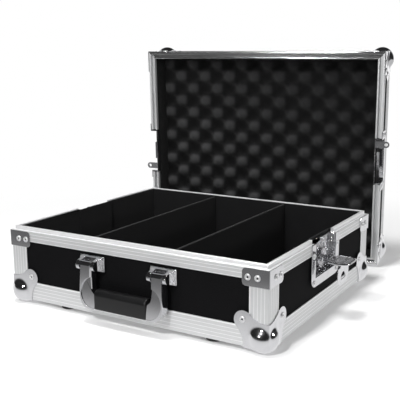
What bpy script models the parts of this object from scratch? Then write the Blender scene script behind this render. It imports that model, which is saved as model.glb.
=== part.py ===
"""Storage flight case: open base tray in front, its lift-off lid standing on one side behind it.

Metres, +Z up, front of the case towards -Y. Each half (base and lid) is modelled in the same
half coordinates: x across from the left outer face, y from the front outer face, z from the
closed outer face up to the rim shoulder. The base half stands on its ball corners. The lid half
is turned so that its rim faces the base.
"""
import math

import bmesh
import bpy
from mathutils import Vector

# Whole case
CASE_WIDTH = 0.470
CASE_DEPTH = 0.400
BASE_HEIGHT = 0.1155
LID_HEIGHT = 0.074
FIT = 0.0003

# Walls and aluminium profiles
ANGLE_SHEET = 0.0015
ANGLE_LEG = 0.0308
ANGLE_CORNER_GAP = 0.010
PANEL_SHEET = 0.0055
RIM_SHEET = 0.0016
RIM_FACE = 0.017
RIM_WEB = 0.004
TONGUE_HEIGHT = 0.006
TONGUE_WIDTH = 0.0046
GROOVE_FLOOR = 0.0015
GROOVE_SPARE = 0.0005
LID_RIM_WIDTH = 0.0125
RIM_GAP = 0.088

# Ball corners
BALL_RADIUS = 0.022
BALL_INSET = 0.0135
BALL_SHEET = 0.0012
PLATE_REACH = 0.038
LOBE_CENTRE = 0.0385
LOBE_RADIUS = 0.0146
LOBE_RIVET = 0.040
RIVET_STEM = 0.0034

# Bent brackets over the rim corners
BRACKET_LEG = 0.041
BRACKET_HEIGHT = 0.0258
BRACKET_SHEET = 0.0015
BRACKET_END_SHARE = 0.25
BRACKET_CLEAR = 0.0003
BASE_BRACKET_DROP = 0.0004
LID_BRACKET_DROP = 0.0006

# Feet
FOOT_RADIUS = 0.014
FOOT_TOP_RADIUS = 0.0125
FOOT_FROM_SIDE = 0.098
FOOT_FROM_FRONT = 0.024

# Inside of the base
LINING_SHEET = 0.003
LINING_FLOOR = 0.0025
LINING_TOP = 0.0045
POCKET_SHEET = 0.0025
DIVIDER_SHEET = 0.005
DIVIDER_DROP = 0.0015
DIVIDER_SPACING = 0.150

# Front handle
HANDLE_SPACING = 0.131
MOUNT_WIDTH = 0.046
MOUNT_HEIGHT = 0.024
MOUNT_SHEET = 0.003
MOUNT_FROM_RIM = 0.004
EAR_SHEET = 0.006
EAR_HEIGHT = 0.016
MOUNT_TAPER = 0.0105
PIVOT_OUT = 0.014
PIN_RADIUS = 0.0024
PIN_PLAY = 0.0003
ARM_WIDTH = 0.021
ARM_THICKNESS = 0.013
ARM_PLAY = 0.0015
ARM_LENGTH = 0.066
ARM_SWELL = 0.003
ARM_ROUND_ACROSS = 0.017
ARM_ROUND_UP = 0.024
FLARE = 0.0074
FLARE_HEIGHT = 0.021
FLARE_BLEND = 0.010
FLARE_CORNER = 0.002
HOLLOW_DROP = 0.0157
HOLLOW_BORDER = 0.0022
HOLLOW_MIDDLE = 0.004
HOLLOW_DEPTH = 0.003
HOLLOW_FOOT_DEPTH = 0.0003
GRIP_HEIGHT = 0.031
GRIP_DEPTH = 0.020
GRIP_RAISE = 0.0005
GRIP_EDGE = 0.0015
GRIP_TOP_RADIUS = 0.0092
GRIP_LOW_RADIUS = 0.003

# Latches in the base's sides
DISH_SHEET = 0.0012
DISH_WIDTH = 0.112
DISH_MOUTH = 0.082
DISH_PAN_DEPTH = 0.012
DISH_CORNER_RADIUS = 0.014
BASE_DISH_HEIGHT = 0.0685
BASE_DISH_MARGIN = 0.0145
ROTOR_DROP = 0.033
ROTOR_RADIUS = 0.016
ROTOR_THICKNESS = 0.0036
ROTOR_SHAFT = 0.004
STEM_WIDTH = 0.016
STEM_HEIGHT = 0.007
BARREL_OUT = 0.008
BARREL_RADIUS = 0.0035
BARREL_WIDTH = 0.018
WING_PIN = 0.0015
KNUCKLE_WIDTH = 0.0036
HOOK_SHEET = 0.0016
HOOK_WIDTH = 0.028
HOOK_TOP = 0.003
HOOK_BOTTOM = 0.0425
HOOK_REACH = 0.0075
HOOK_LIP = 0.008
HOOK_TRAVEL = 0.010
WING_SHEET = 0.0018
WING_WIDTH = 0.048
WING_ROOT = 0.004
WING_LENGTH = 0.038
WING_CORNER = 0.012
FLAP_OUT = 0.022
FLAP_DROP = 0.0048
FLAP_BARREL = 0.0024
FLAP_PIN = 0.0012
FLAP_BARREL_WIDTH = 0.027
FLAP_LUG = 0.0034
FLAP_SHEET = 0.0014
FLAP_WIDTH = 0.046
FLAP_LENGTH = 0.031
FLAP_CORNER = 0.012
FLAP_SLOT_WIDTH = 0.020
FLAP_SLOT_HEIGHT = 0.011
FLAP_SLOT_UP = 0.008

# Keepers in the lid's sides
LID_DISH_HEIGHT = 0.0425
LID_DISH_MARGIN = 0.0125
CATCH_WIDTH = 0.034
CATCH_DEPTH = 0.0065
CATCH_DROP = 0.012
CATCH_SHEET = 0.0014
CATCH_LIP = 0.0045
EYE_RADIUS = 0.006
EYE_HOLE = 0.003
EYE_SHEET = 0.0025
EYE_OUT = 0.0078
EYE_OFFSET = 0.032
EYE_DROP = 0.005

# Foam in the lid
FOAM_WALL = 0.005
FOAM_FLOOR = 0.004
FOAM_PITCH_ACROSS = 0.0525
FOAM_PITCH_UP = 0.048
FOAM_PHASE_UP = 0.024
FOAM_MIDDLE = 0.019
FOAM_SWING = 0.009

# Where the taken-off lid stands
LID_LEAN = math.radians(1.9)
LID_TURN = math.radians(9.5)
LID_SHIFT = 0.0008
LID_REST_GAP = 0.0005

# Sizes that follow from the ones above
PANEL_INSET = ANGLE_SHEET + FIT
RIM_LEG = PANEL_INSET + PANEL_SHEET + FIT
RIM_WIDTH = RIM_LEG + RIM_SHEET
LINING_INSET = RIM_WIDTH + FIT
BALL_DROP = BALL_RADIUS - BALL_INSET
GROOVE_DEPTH = TONGUE_HEIGHT + GROOVE_SPARE
LID_RIM_WEB = GROOVE_DEPTH + GROOVE_FLOOR
MIDDLE_DEPTH = CASE_DEPTH / 2.0
LID_BRACKET_HEIGHT = LID_HEIGHT - LID_BRACKET_DROP - LOBE_CENTRE - LOBE_RADIUS - BRACKET_CLEAR
MOUNT_BOTTOM = BASE_HEIGHT - RIM_FACE - MOUNT_FROM_RIM - MOUNT_HEIGHT
PAN_WIDTH = DISH_MOUTH + 2.0 * DISH_SHEET
MERGE = 0.000002
ARC_STEPS = 6
ROUND_STEPS = 20

CHROME = "chrome"
ALUMINIUM = "aluminium"
LAMINATE = "black laminate"
LINING = "black lining"
FOAM = "black foam"
RUBBER = "black rubber"
PLASTIC = "black plastic"
COLOURS = {
    CHROME: ((0.80, 0.80, 0.81), 0.12, 1.0),
    ALUMINIUM: ((0.72, 0.73, 0.74), 0.32, 1.0),
    LAMINATE: ((0.012, 0.012, 0.013), 0.55, 0.0),
    LINING: ((0.010, 0.010, 0.011), 0.95, 0.0),
    FOAM: ((0.020, 0.020, 0.022), 0.95, 0.0),
    RUBBER: ((0.015, 0.015, 0.015), 0.80, 0.0),
    PLASTIC: ((0.018, 0.018, 0.020), 0.40, 0.0),
}


def clear_scene():
    """Remove whatever the scene holds."""
    for thing in list(bpy.data.objects):
        bpy.data.objects.remove(thing, do_unlink=True)


def material(kind, name):
    """One Principled material for one piece."""
    colour, roughness, metallic = COLOURS[kind]
    made = bpy.data.materials.new(name + " " + kind)
    made.use_nodes = True
    shader = made.node_tree.nodes["Principled BSDF"]
    shader.inputs["Base Color"].default_value = (*colour, 1.0)
    shader.inputs["Roughness"].default_value = roughness
    shader.inputs["Metallic"].default_value = metallic
    made.diffuse_color = (*colour, 1.0)
    return made


def empty(name, parent=None, location=(0.0, 0.0, 0.0), turn=(0.0, 0.0, 0.0)):
    """A parent frame."""
    made = bpy.data.objects.new(name, None)
    made.empty_display_size = 0.02
    made.parent = parent
    made.location = location
    made.rotation_euler = turn
    bpy.context.scene.collection.objects.link(made)
    return made


def loft(sections, ring=False):
    """Skin a row of sections that have equal point counts, capped or joined into a ring."""
    shape = bmesh.new()
    rows = [[shape.verts.new(point) for point in section] for section in sections]
    count = len(rows[0])
    pairs = list(zip(rows, rows[1:]))
    if ring:
        pairs.append((rows[-1], rows[0]))
    for first, second in pairs:
        for here in range(count):
            after = (here + 1) % count
            shape.faces.new((first[here], first[after], second[after], second[here]))
    if not ring:
        shape.faces.new(rows[0][::-1])
        shape.faces.new(rows[-1])
    return shape


def prism(outline, low, high, axis):
    """Extrude a flat outline along X, Y or Z. The outline's numbers are the other two axes."""
    index = "XYZ".index(axis)
    sections = []
    for level in (low, high):
        section = []
        for first, second in outline:
            point = [first, second]
            point.insert(index, level)
            section.append(tuple(point))
        sections.append(section)
    return loft(sections)


def block(low, high):
    """Rectangular block between two opposite corners."""
    outline = [(low[0], low[1]), (high[0], low[1]), (high[0], high[1]), (low[0], high[1])]
    return prism(outline, low[2], high[2], "Z")


def circle(centre, radius, steps=ROUND_STEPS, start=0.0, sweep=2.0 * math.pi):
    """Points round a circle, or along an arc where the sweep is less than a full turn."""
    full = sweep >= 2.0 * math.pi - 1e-9
    count = steps if full else steps + 1
    points = []
    for step in range(count):
        angle = start + sweep * step / steps
        points.append((centre[0] + radius * math.cos(angle), centre[1] + radius * math.sin(angle)))
    return points


def rod(centre, radius, low, high, axis, steps=ROUND_STEPS):
    """Round rod along X, Y or Z."""
    return prism(circle(centre, radius, steps), low, high, axis)


def rounded_rectangle(low, high, radii):
    """Rectangle with a radius for each corner, from the low corner anticlockwise."""
    corners = [(low[0], low[1]), (high[0], low[1]), (high[0], high[1]), (low[0], high[1])]
    inward = [(1, 1), (-1, 1), (-1, -1), (1, -1)]
    points = []
    for place, (corner, way, radius) in enumerate(zip(corners, inward, radii)):
        if radius <= 0.0:
            points.append(corner)
            continue
        centre = (corner[0] + way[0] * radius, corner[1] + way[1] * radius)
        start = math.pi + place * math.pi / 2.0
        points.extend(circle(centre, radius, ARC_STEPS, start, math.pi / 2.0))
    return points


def face_out(shape):
    """Turn every face of a closed shape outwards."""
    bmesh.ops.recalc_face_normals(shape, faces=shape.faces)
    if shape.calc_volume(signed=True) < 0.0:
        bmesh.ops.reverse_faces(shape, faces=shape.faces)


def boolean(base, tool, operation):
    """Combine two closed shapes with an exact Boolean and return the new shape."""
    parts = []
    for shape in (base, tool):
        face_out(shape)
        mesh = bpy.data.meshes.new("work")
        shape.to_mesh(mesh)
        shape.free()
        part = bpy.data.objects.new("work", mesh)
        bpy.context.scene.collection.objects.link(part)
        parts.append(part)
    cutter = parts[0].modifiers.new("combine", "BOOLEAN")
    cutter.operation = operation
    cutter.solver = "EXACT"
    cutter.object = parts[1]
    bpy.context.view_layer.update()
    graph = bpy.context.evaluated_depsgraph_get()
    made = bpy.data.meshes.new_from_object(parts[0].evaluated_get(graph), depsgraph=graph)
    result = bmesh.new()
    result.from_mesh(made)
    bmesh.ops.dissolve_degenerate(result, dist=MERGE, edges=result.edges)
    meshes = [part.data for part in parts] + [made]
    for part in parts:
        bpy.data.objects.remove(part, do_unlink=True)
    for mesh in meshes:
        bpy.data.meshes.remove(mesh)
    return result


def add(base, *tools):
    """Union of a shape with others."""
    for tool in tools:
        base = boolean(base, tool, "UNION")
    return base


def cut(base, *tools):
    """A shape with others taken out of it."""
    for tool in tools:
        base = boolean(base, tool, "DIFFERENCE")
    return base


def remap(shape, rule):
    """Move every point of a shape by a rule on its coordinates."""
    for vert in shape.verts:
        vert.co = Vector(rule(*vert.co))
    return shape


def piece(name, shape, kind, parent, pivot=(0.0, 0.0, 0.0), smooth=None):
    """Turn a shape into a named object whose origin is the pivot, in its parent's frame."""
    face_out(shape)
    for vert in shape.verts:
        vert.co -= Vector(pivot)
    mesh = bpy.data.meshes.new(name)
    shape.to_mesh(mesh)
    shape.free()
    if smooth is not None:
        mesh.shade_smooth()
        mesh.set_sharp_from_angle(angle=math.radians(smooth))
    mesh.materials.append(material(kind, name))
    made = bpy.data.objects.new(name, mesh)
    made.parent = parent
    made.location = pivot
    bpy.context.scene.collection.objects.link(made)
    return made


def corner_rule(side, end):
    """Map corner coordinates (in from the side, in from the front or back, up) to the half."""
    def rule(across, along, up):
        x = across if side == "left" else CASE_WIDTH - across
        y = along if end == "front" else CASE_DEPTH - along
        return (x, y, up)
    return rule


def side_rule(side):
    """Map side coordinates (out of the side face, along the side, up) to the half.

    The two sides are the same part turned half a turn about the vertical.
    """
    def rule(out, along, up):
        if side == "right":
            return (CASE_WIDTH + out, along, up)
        return (-out, CASE_DEPTH - along, up)
    return rule


def corners():
    """The four corners of a half, by name."""
    return [(end, side) for end in ("front", "back") for side in ("left", "right")]


def angle_run(length_low, length_high):
    """Edge angle along X at the front bottom edge."""
    outline = [
        (0.0, 0.0),
        (ANGLE_LEG, 0.0),
        (ANGLE_LEG, ANGLE_SHEET),
        (ANGLE_SHEET, ANGLE_SHEET),
        (ANGLE_SHEET, ANGLE_LEG),
        (0.0, ANGLE_LEG),
    ]
    return prism(outline, length_low, length_high, "X")


def folded_corner(outside, inside, reach, side):
    """Three flat plates folded from one sheet round a corner, without overlaps.

    The side is the free outline of each plate, from one folded edge to the other.
    """
    shape = bmesh.new()
    known = {}

    def vert(axis, level, first, second):
        place = [0.0, 0.0, 0.0]
        place[axis] = level
        place[(axis + 1) % 3] = first
        place[(axis + 2) % 3] = second
        key = tuple(round(value * 1e7) for value in place)
        if key not in known:
            known[key] = shape.verts.new(place)
        return known[key]

    for axis in range(3):
        rows = []
        for level in (outside, inside):
            outline = [(reach, level)] + side + [(level, reach)]
            rows.append([vert(axis, level, first, second) for first, second in outline])
            shape.faces.new([vert(axis, level, level, level)] + rows[-1])
        outer, inner = rows
        for here in range(len(outer) - 1):
            shape.faces.new((outer[here], inner[here], inner[here + 1], outer[here + 1]))
    return shape


def globe(radius, around, up):
    """Sphere in the ball's place, its poles on the corner's diagonal."""
    shape = bmesh.new()
    bmesh.ops.create_uvsphere(shape, u_segments=around, v_segments=up, radius=radius)
    turn = Vector((0.0, 0.0, 1.0)).rotation_difference(Vector((1.0, 1.0, 1.0))).to_matrix()
    bmesh.ops.rotate(shape, cent=(0.0, 0.0, 0.0), matrix=turn, verts=shape.verts)
    bmesh.ops.translate(shape, verts=shape.verts, vec=(BALL_INSET, BALL_INSET, BALL_INSET))
    return shape


def ball_corner():
    """Pressed three-way corner with a ball, in corner coordinates."""
    outside = -(BALL_SHEET + FIT)
    waist = PLATE_REACH + 0.0006
    shoulder = LOBE_CENTRE + 0.003
    wide = LOBE_CENTRE + LOBE_RADIUS * math.cos(math.radians(-36.0))
    low = LOBE_CENTRE + LOBE_RADIUS * math.sin(math.radians(-36.0))
    side = [
        (PLATE_REACH, 0.0),
        (waist, BALL_INSET * 0.6),
        (shoulder, BALL_INSET * 1.25),
        ((shoulder + wide) / 2.0 - 0.0008, (BALL_INSET * 1.25 + low) / 2.0 + 0.0006),
    ]
    lobe = circle((LOBE_CENTRE, LOBE_CENTRE), LOBE_RADIUS, 7, math.radians(-36.0), math.radians(162.0))
    side = side + lobe + [(b, a) for a, b in reversed(side)]
    sharp = block((-BALL_INSET,) * 3, (BALL_INSET,) * 3)
    shape = cut(folded_corner(outside, -FIT, PLATE_REACH, side), sharp)
    shape = add(shape, globe(BALL_RADIUS, 16, 10))
    far = 2.0 * (LOBE_CENTRE + LOBE_RADIUS)
    shape = cut(shape, block((-FIT, -FIT, -FIT), (far, far, far)))
    shape = cut(shape, globe(BALL_RADIUS - BALL_SHEET, 8, 6))
    stem_top = PANEL_INSET - FIT
    head = outside - 0.001
    stems = [rod((LOBE_RIVET, LOBE_RIVET), RIVET_STEM, head, stem_top, axis, 8) for axis in "XYZ"]
    return add(shape, *stems)


def rim_bracket(high, height):
    """Flat bracket bent round a rim corner, in corner coordinates, its upper edge at high."""
    low = high - height
    round_off = BRACKET_END_SHARE * height
    inner = -FIT
    outer = -(FIT + BRACKET_SHEET)
    sections = []

    def section(place_out, place_in, trim):
        sections.append([
            (place_out[0], place_out[1], low + trim),
            (place_out[0], place_out[1], high - trim),
            (place_in[0], place_in[1], high - trim),
            (place_in[0], place_in[1], low + trim),
        ])

    ends = []
    for step in range(ARC_STEPS + 1):
        angle = math.pi / 2.0 * step / ARC_STEPS
        reach = BRACKET_LEG - round_off * (1.0 - math.sin(angle))
        ends.append((reach, round_off * (1.0 - math.cos(angle))))
    for reach, trim in reversed(ends):
        section((reach, outer), (reach, inner), trim)
    for step in range(ARC_STEPS + 1):
        angle = -math.pi / 2.0 - math.pi / 2.0 * step / ARC_STEPS
        way = (math.cos(angle), math.sin(angle))
        section((-outer * way[0], -outer * way[1]), (-inner * way[0], -inner * way[1]), 0.0)
    for reach, trim in ends:
        section((outer, reach), (inner, reach), trim)
    return loft(sections)


def rim_half(profile, end):
    """U-shaped half of a rim, mitred at its two corners, parted at the latches."""
    near = MIDDLE_DEPTH - RIM_GAP / 2.0
    if end == "front":
        stations = [(0, near, 1, 0), (0, 0, 1, 1), (CASE_WIDTH, 0, -1, 1), (CASE_WIDTH, near, -1, 0)]
    else:
        far = CASE_DEPTH - near
        back = CASE_DEPTH
        stations = [(0, far, 1, 0), (0, back, 1, -1), (CASE_WIDTH, back, -1, -1), (CASE_WIDTH, far, -1, 0)]
    return loft([[(x + n * dx, y + n * dy, z) for n, z in profile] for x, y, dx, dy in stations])


def base_rim_profile():
    """Rim section with the raised tongue, as distance in from the outer face and height."""
    top = BASE_HEIGHT
    tongue_out = RIM_WIDTH - TONGUE_WIDTH
    return [
        (0.0, top - RIM_FACE),
        (ANGLE_SHEET, top - RIM_FACE),
        (ANGLE_SHEET, top - RIM_WEB),
        (RIM_LEG, top - RIM_WEB),
        (RIM_LEG, top - RIM_FACE),
        (RIM_WIDTH, top - RIM_FACE),
        (RIM_WIDTH, top + TONGUE_HEIGHT),
        (tongue_out, top + TONGUE_HEIGHT),
        (tongue_out, top),
        (0.0, top),
    ]


def lid_rim_profile():
    """Rim section with the groove that takes the base's tongue."""
    top = LID_HEIGHT
    web = top - LID_RIM_WEB
    groove_out = RIM_WIDTH - TONGUE_WIDTH - FIT
    groove_in = RIM_WIDTH + FIT
    return [
        (0.0, top - RIM_FACE),
        (ANGLE_SHEET, top - RIM_FACE),
        (ANGLE_SHEET, web),
        (RIM_LEG, web),
        (RIM_LEG, top - RIM_FACE),
        (RIM_WIDTH, top - RIM_FACE),
        (RIM_WIDTH, web),
        (LID_RIM_WIDTH, web),
        (LID_RIM_WIDTH, top),
        (groove_in, top),
        (groove_in, top - GROOVE_DEPTH),
        (groove_out, top - GROOVE_DEPTH),
        (groove_out, top),
        (0.0, top),
    ]


def pan_notch(side, floor, top, spare):
    """Block that clears a latch pan in the wall behind it."""
    half = PAN_WIDTH / 2.0 + spare
    low = (-(DISH_PAN_DEPTH + spare), MIDDLE_DEPTH - half, floor - DISH_SHEET - spare)
    high = (0.01, MIDDLE_DEPTH + half, top)
    return remap(block(low, high), side_rule(side))


def dish(height, margin, top):
    """Pressed latch dish in side coordinates: flange, and a pan that is open at the rim."""
    outer = FIT + DISH_SHEET
    half = DISH_WIDTH / 2.0
    radii = (DISH_CORNER_RADIUS, DISH_CORNER_RADIUS, 0.0, 0.0)
    bottom = top - height
    outline = rounded_rectangle((MIDDLE_DEPTH - half, bottom), (MIDDLE_DEPTH + half, top), radii)
    flange = prism(outline, FIT, outer, "X")
    pan = PAN_WIDTH / 2.0
    mouth = DISH_MOUTH / 2.0
    floor = bottom + margin
    body = block(
        (-DISH_PAN_DEPTH, MIDDLE_DEPTH - pan, floor - DISH_SHEET),
        ((FIT + outer) / 2.0, MIDDLE_DEPTH + pan, top),
    )
    inside = block(
        (-DISH_PAN_DEPTH + DISH_SHEET, MIDDLE_DEPTH - mouth, floor),
        (outer + 0.01, MIDDLE_DEPTH + mouth, top + 0.01),
    )
    return cut(add(flange, body), inside)


def build_panels(frame):
    """Plywood panels of the base."""
    inset = PANEL_INSET
    inner = PANEL_INSET + PANEL_SHEET
    right = CASE_WIDTH - inset
    back = CASE_DEPTH - inset
    foot = inner + FIT
    top = BASE_HEIGHT - RIM_WEB - FIT
    bottom = block((inset, inset, inset), (right, back, inner))
    piece("base_bottom_panel", bottom, LAMINATE, frame)
    front = block((inset, inset, foot), (right, inner, top))
    piece("base_front_panel", front, LAMINATE, frame)
    rear = block((inset, CASE_DEPTH - inner, foot), (right, back, top))
    piece("base_back_panel", rear, LAMINATE, frame)
    floor = BASE_HEIGHT - BASE_DISH_HEIGHT + BASE_DISH_MARGIN
    for side in ("left", "right"):
        wall = block((inset, foot, foot), (inner, CASE_DEPTH - foot, top))
        if side == "right":
            wall = remap(wall, corner_rule("right", "front"))
        wall = cut(wall, pan_notch(side, floor, BASE_HEIGHT, FIT))
        piece("base_%s_panel" % side, wall, LAMINATE, frame)


def build_base_angles(frame):
    """Edge and corner angles of the base."""
    low = ANGLE_CORNER_GAP
    front = angle_run(low, CASE_WIDTH - low)
    piece("base_front_edge_angle", front, ALUMINIUM, frame)
    back = remap(angle_run(low, CASE_WIDTH - low), corner_rule("left", "back"))
    piece("base_back_edge_angle", back, ALUMINIUM, frame)
    start = ANGLE_LEG + FIT
    for side in ("left", "right"):
        run = remap(angle_run(start, CASE_DEPTH - start), lambda x, y, z: (y, x, z))
        run = remap(run, corner_rule(side, "front"))
        piece("base_%s_edge_angle" % side, run, ALUMINIUM, frame)
    outline = [
        (0.0, 0.0),
        (ANGLE_LEG, 0.0),
        (ANGLE_LEG, ANGLE_SHEET),
        (ANGLE_SHEET, ANGLE_SHEET),
        (ANGLE_SHEET, ANGLE_LEG),
        (0.0, ANGLE_LEG),
    ]
    for end, side in corners():
        upright = prism(outline, start, BASE_HEIGHT - RIM_FACE - FIT, "Z")
        upright = remap(upright, corner_rule(side, end))
        piece("base_corner_angle_%s_%s" % (end, side), upright, ALUMINIUM, frame)


def build_hardware(frame, half, height, drop):
    """Rims, ball corners and rim brackets of one half."""
    profile = base_rim_profile() if half == "base" else lid_rim_profile()
    names = ("front", "rear") if half == "base" else ("lower", "upper")
    piece("%s_rim_%s" % (half, names[0]), rim_half(profile, "front"), ALUMINIUM, frame)
    piece("%s_rim_%s" % (half, names[1]), rim_half(profile, "back"), ALUMINIUM, frame)
    for end, side in corners():
        place = end if half == "base" else {"front": "lower", "back": "upper"}[end]
        ball = remap(ball_corner(), corner_rule(side, end))
        piece("%s_ball_corner_%s_%s" % (half, place, side), ball, CHROME, frame, smooth=35)
        bracket = rim_bracket(height - drop, BRACKET_HEIGHT if half == "base" else LID_BRACKET_HEIGHT)
        bracket = remap(bracket, corner_rule(side, end))
        piece("%s_rim_bracket_%s_%s" % (half, place, side), bracket, CHROME, frame, smooth=35)


def build_feet(frame):
    """Rubber feet under the base, as tall as the ball corners."""
    for end, side in corners():
        sections = []
        for radius, level in ((FOOT_RADIUS, -BALL_DROP), (FOOT_TOP_RADIUS, -FIT)):
            ring = circle((FOOT_FROM_SIDE, FOOT_FROM_FRONT), radius)
            sections.append([(x, y, level) for x, y in ring])
        foot = remap(loft(sections), corner_rule(side, end))
        piece("foot_%s_%s" % (end, side), foot, RUBBER, frame, smooth=35)


def build_inside(frame):
    """Lining tray with pockets round the latch pans, and two dividers."""
    inner = LINING_INSET + LINING_SHEET
    bottom = PANEL_INSET + PANEL_SHEET + FIT
    floor = bottom + LINING_FLOOR
    top = BASE_HEIGHT + LINING_TOP
    tray = block(
        (LINING_INSET, LINING_INSET, bottom),
        (CASE_WIDTH - LINING_INSET, CASE_DEPTH - LINING_INSET, top),
    )
    hollow = block((inner, inner, floor), (CASE_WIDTH - inner, CASE_DEPTH - inner, top + 0.01))
    tray = cut(tray, hollow)
    pan_floor = BASE_HEIGHT - BASE_DISH_HEIGHT + BASE_DISH_MARGIN
    half = PAN_WIDTH / 2.0 + FIT + POCKET_SHEET
    deep = DISH_PAN_DEPTH + FIT + POCKET_SHEET
    below = pan_floor - DISH_SHEET - FIT - POCKET_SHEET
    for side in ("left", "right"):
        bump = block(
            (-deep, MIDDLE_DEPTH - half, below),
            (-(LINING_INSET + LINING_SHEET / 2.0), MIDDLE_DEPTH + half, top),
        )
        tray = add(tray, remap(bump, side_rule(side)))
        tray = cut(tray, pan_notch(side, pan_floor, top + 0.01, FIT))
    piece("base_lining", tray, LINING, frame)
    thick = DIVIDER_SHEET / 2.0
    for name, shift in (("left", -DIVIDER_SPACING / 2.0), ("right", DIVIDER_SPACING / 2.0)):
        middle = CASE_WIDTH / 2.0 + shift
        wall = block(
            (middle - thick, inner + FIT, floor + FIT),
            (middle + thick, CASE_DEPTH - inner - FIT, top - DIVIDER_DROP),
        )
        piece("divider_%s" % name, wall, LINING, frame)


def handle_mount(middle):
    """Handle mount: plate, tapered foot, two ears and the pivot pin between them."""
    back = PANEL_INSET - FIT
    front = back - MOUNT_SHEET
    top = MOUNT_BOTTOM + MOUNT_HEIGHT
    half = MOUNT_WIDTH / 2.0
    plate = block((middle - half, front, MOUNT_BOTTOM), (middle + half, back, top))
    centre = MOUNT_BOTTOM + MOUNT_HEIGHT / 2.0
    radius = EAR_HEIGHT / 2.0
    gap = ARM_WIDTH / 2.0 + FIT
    rows = []
    for out, wide, tall in (
        (front + MOUNT_SHEET / 2.0, half, MOUNT_HEIGHT / 2.0),
        (front, half, MOUNT_HEIGHT / 2.0),
        (front - MOUNT_TAPER, gap + EAR_SHEET, radius),
    ):
        low, high = centre - tall, centre + tall
        left, right = middle - wide, middle + wide
        rows.append([(left, out, low), (right, out, low), (right, out, high), (left, out, high)])
    slot_back = -(PIVOT_OUT - ARM_THICKNESS / 2.0 - ARM_PLAY)
    slot = block((middle - gap, front - PIVOT_OUT, MOUNT_BOTTOM), (middle + gap, slot_back, top))
    shape = add(plate, cut(loft(rows), slot))
    outline = [(front + MOUNT_SHEET / 2.0, centre - radius)]
    outline += [(front + MOUNT_SHEET / 2.0, centre + radius)]
    outline += circle((-PIVOT_OUT, centre), radius, 8, math.pi / 2.0, math.pi)
    for way in (-1.0, 1.0):
        near = middle + way * gap
        far = middle + way * (gap + EAR_SHEET)
        shape = add(shape, prism(outline, min(near, far), max(near, far), "X"))
    reach = gap + EAR_SHEET / 2.0
    pin = rod((-PIVOT_OUT, centre), PIN_RADIUS, middle - reach, middle + reach, "X", 12)
    return add(shape, pin)


def arm_outline(pivot):
    """Front outline of an arm, as (towards the grip from the arm's middle, up)."""
    half = ARM_WIDTH / 2.0
    bottom = pivot - ARM_LENGTH
    inner = half + FLARE
    points = []
    for step in range(11):
        angle = math.pi + math.pi / 2.0 * step / 10
        across = -half + ARM_ROUND_ACROSS * (1.0 + math.cos(angle))
        points.append((across, bottom + ARM_ROUND_UP * (1.0 + math.sin(angle))))
    corner = (inner - FLARE_CORNER, bottom + FLARE_CORNER)
    points += circle(corner, FLARE_CORNER, 4, -math.pi / 2.0, math.pi / 2.0)
    for step in range(9):
        share = step / 8
        back = share * share * (3.0 - 2.0 * share)
        points.append((inner - FLARE * back, bottom + FLARE_HEIGHT + FLARE_BLEND * share))
    thick = ARM_THICKNESS / 2.0
    return points + [(half, pivot + thick), (-half, pivot + thick)]


def handle_arm(middle, way):
    """Handle arm: round top on the pin, lower end wider towards the grip, hollowed in front."""
    pivot = MOUNT_BOTTOM + MOUNT_HEIGHT / 2.0
    half = ARM_WIDTH / 2.0
    thick = ARM_THICKNESS / 2.0
    bottom = pivot - ARM_LENGTH

    def front(level):
        """Front face of the arm at a level."""
        return -(PIVOT_OUT + thick + ARM_SWELL * (pivot - level) / ARM_LENGTH)

    outline = [(middle + way * across, up) for across, up in arm_outline(pivot)]
    far_front = front(bottom) - ARM_SWELL
    body = prism(outline, far_front, -(PIVOT_OUT - thick), "Y")
    below = bottom - 0.01
    side = circle((-PIVOT_OUT, pivot), thick, 12, 0.0, math.pi)
    side += [(front(below), below), (-(PIVOT_OUT - thick), below)]
    wide = prism(side, middle - half - 0.02, middle + half + 0.02, "X")
    body = boolean(body, wide, "INTERSECT")
    high = pivot - HOLLOW_DROP
    low = bottom + HOLLOW_BORDER
    centre = (half + HOLLOW_MIDDLE, (high + low) / 2.0)
    radii = (2.0 * half + HOLLOW_MIDDLE - HOLLOW_BORDER, (high - low) / 2.0)
    rows = [[], []]
    for step in range(36):
        angle = 2.0 * math.pi * step / 36
        across = middle + way * (centre[0] + radii[0] * math.cos(angle))
        up = centre[1] + radii[1] * math.sin(angle)
        share = (up - low) / (high - low)
        depth = HOLLOW_FOOT_DEPTH + (HOLLOW_DEPTH - HOLLOW_FOOT_DEPTH) * share
        rows[0].append((across, far_front - 0.01, up))
        rows[1].append((across, front(up) + depth, up))
    body = cut(body, loft(rows))
    hole = rod((-PIVOT_OUT, pivot), PIN_RADIUS + PIN_PLAY, middle - ARM_WIDTH, middle + ARM_WIDTH, "X", 12)
    return cut(body, hole)


def handle_grip(left, right):
    """Moulded grip between the arms: flat front and foot, round along its top."""
    low = MOUNT_BOTTOM + MOUNT_HEIGHT / 2.0 - ARM_LENGTH + GRIP_RAISE
    sections = []
    for x, inset in ((left, GRIP_EDGE), (left + GRIP_EDGE, 0.0), (right - GRIP_EDGE, 0.0), (right, GRIP_EDGE)):
        near = (-PIVOT_OUT - GRIP_DEPTH / 2.0 + inset, low + inset)
        far = (-PIVOT_OUT + GRIP_DEPTH / 2.0 - inset, low + GRIP_HEIGHT - inset)
        round_low, round_top = GRIP_LOW_RADIUS - inset, GRIP_TOP_RADIUS - inset
        ring = rounded_rectangle(near, far, (round_low, round_low, round_top, round_top))
        sections.append([(x, y, z) for y, z in ring])
    return loft(sections)


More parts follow.
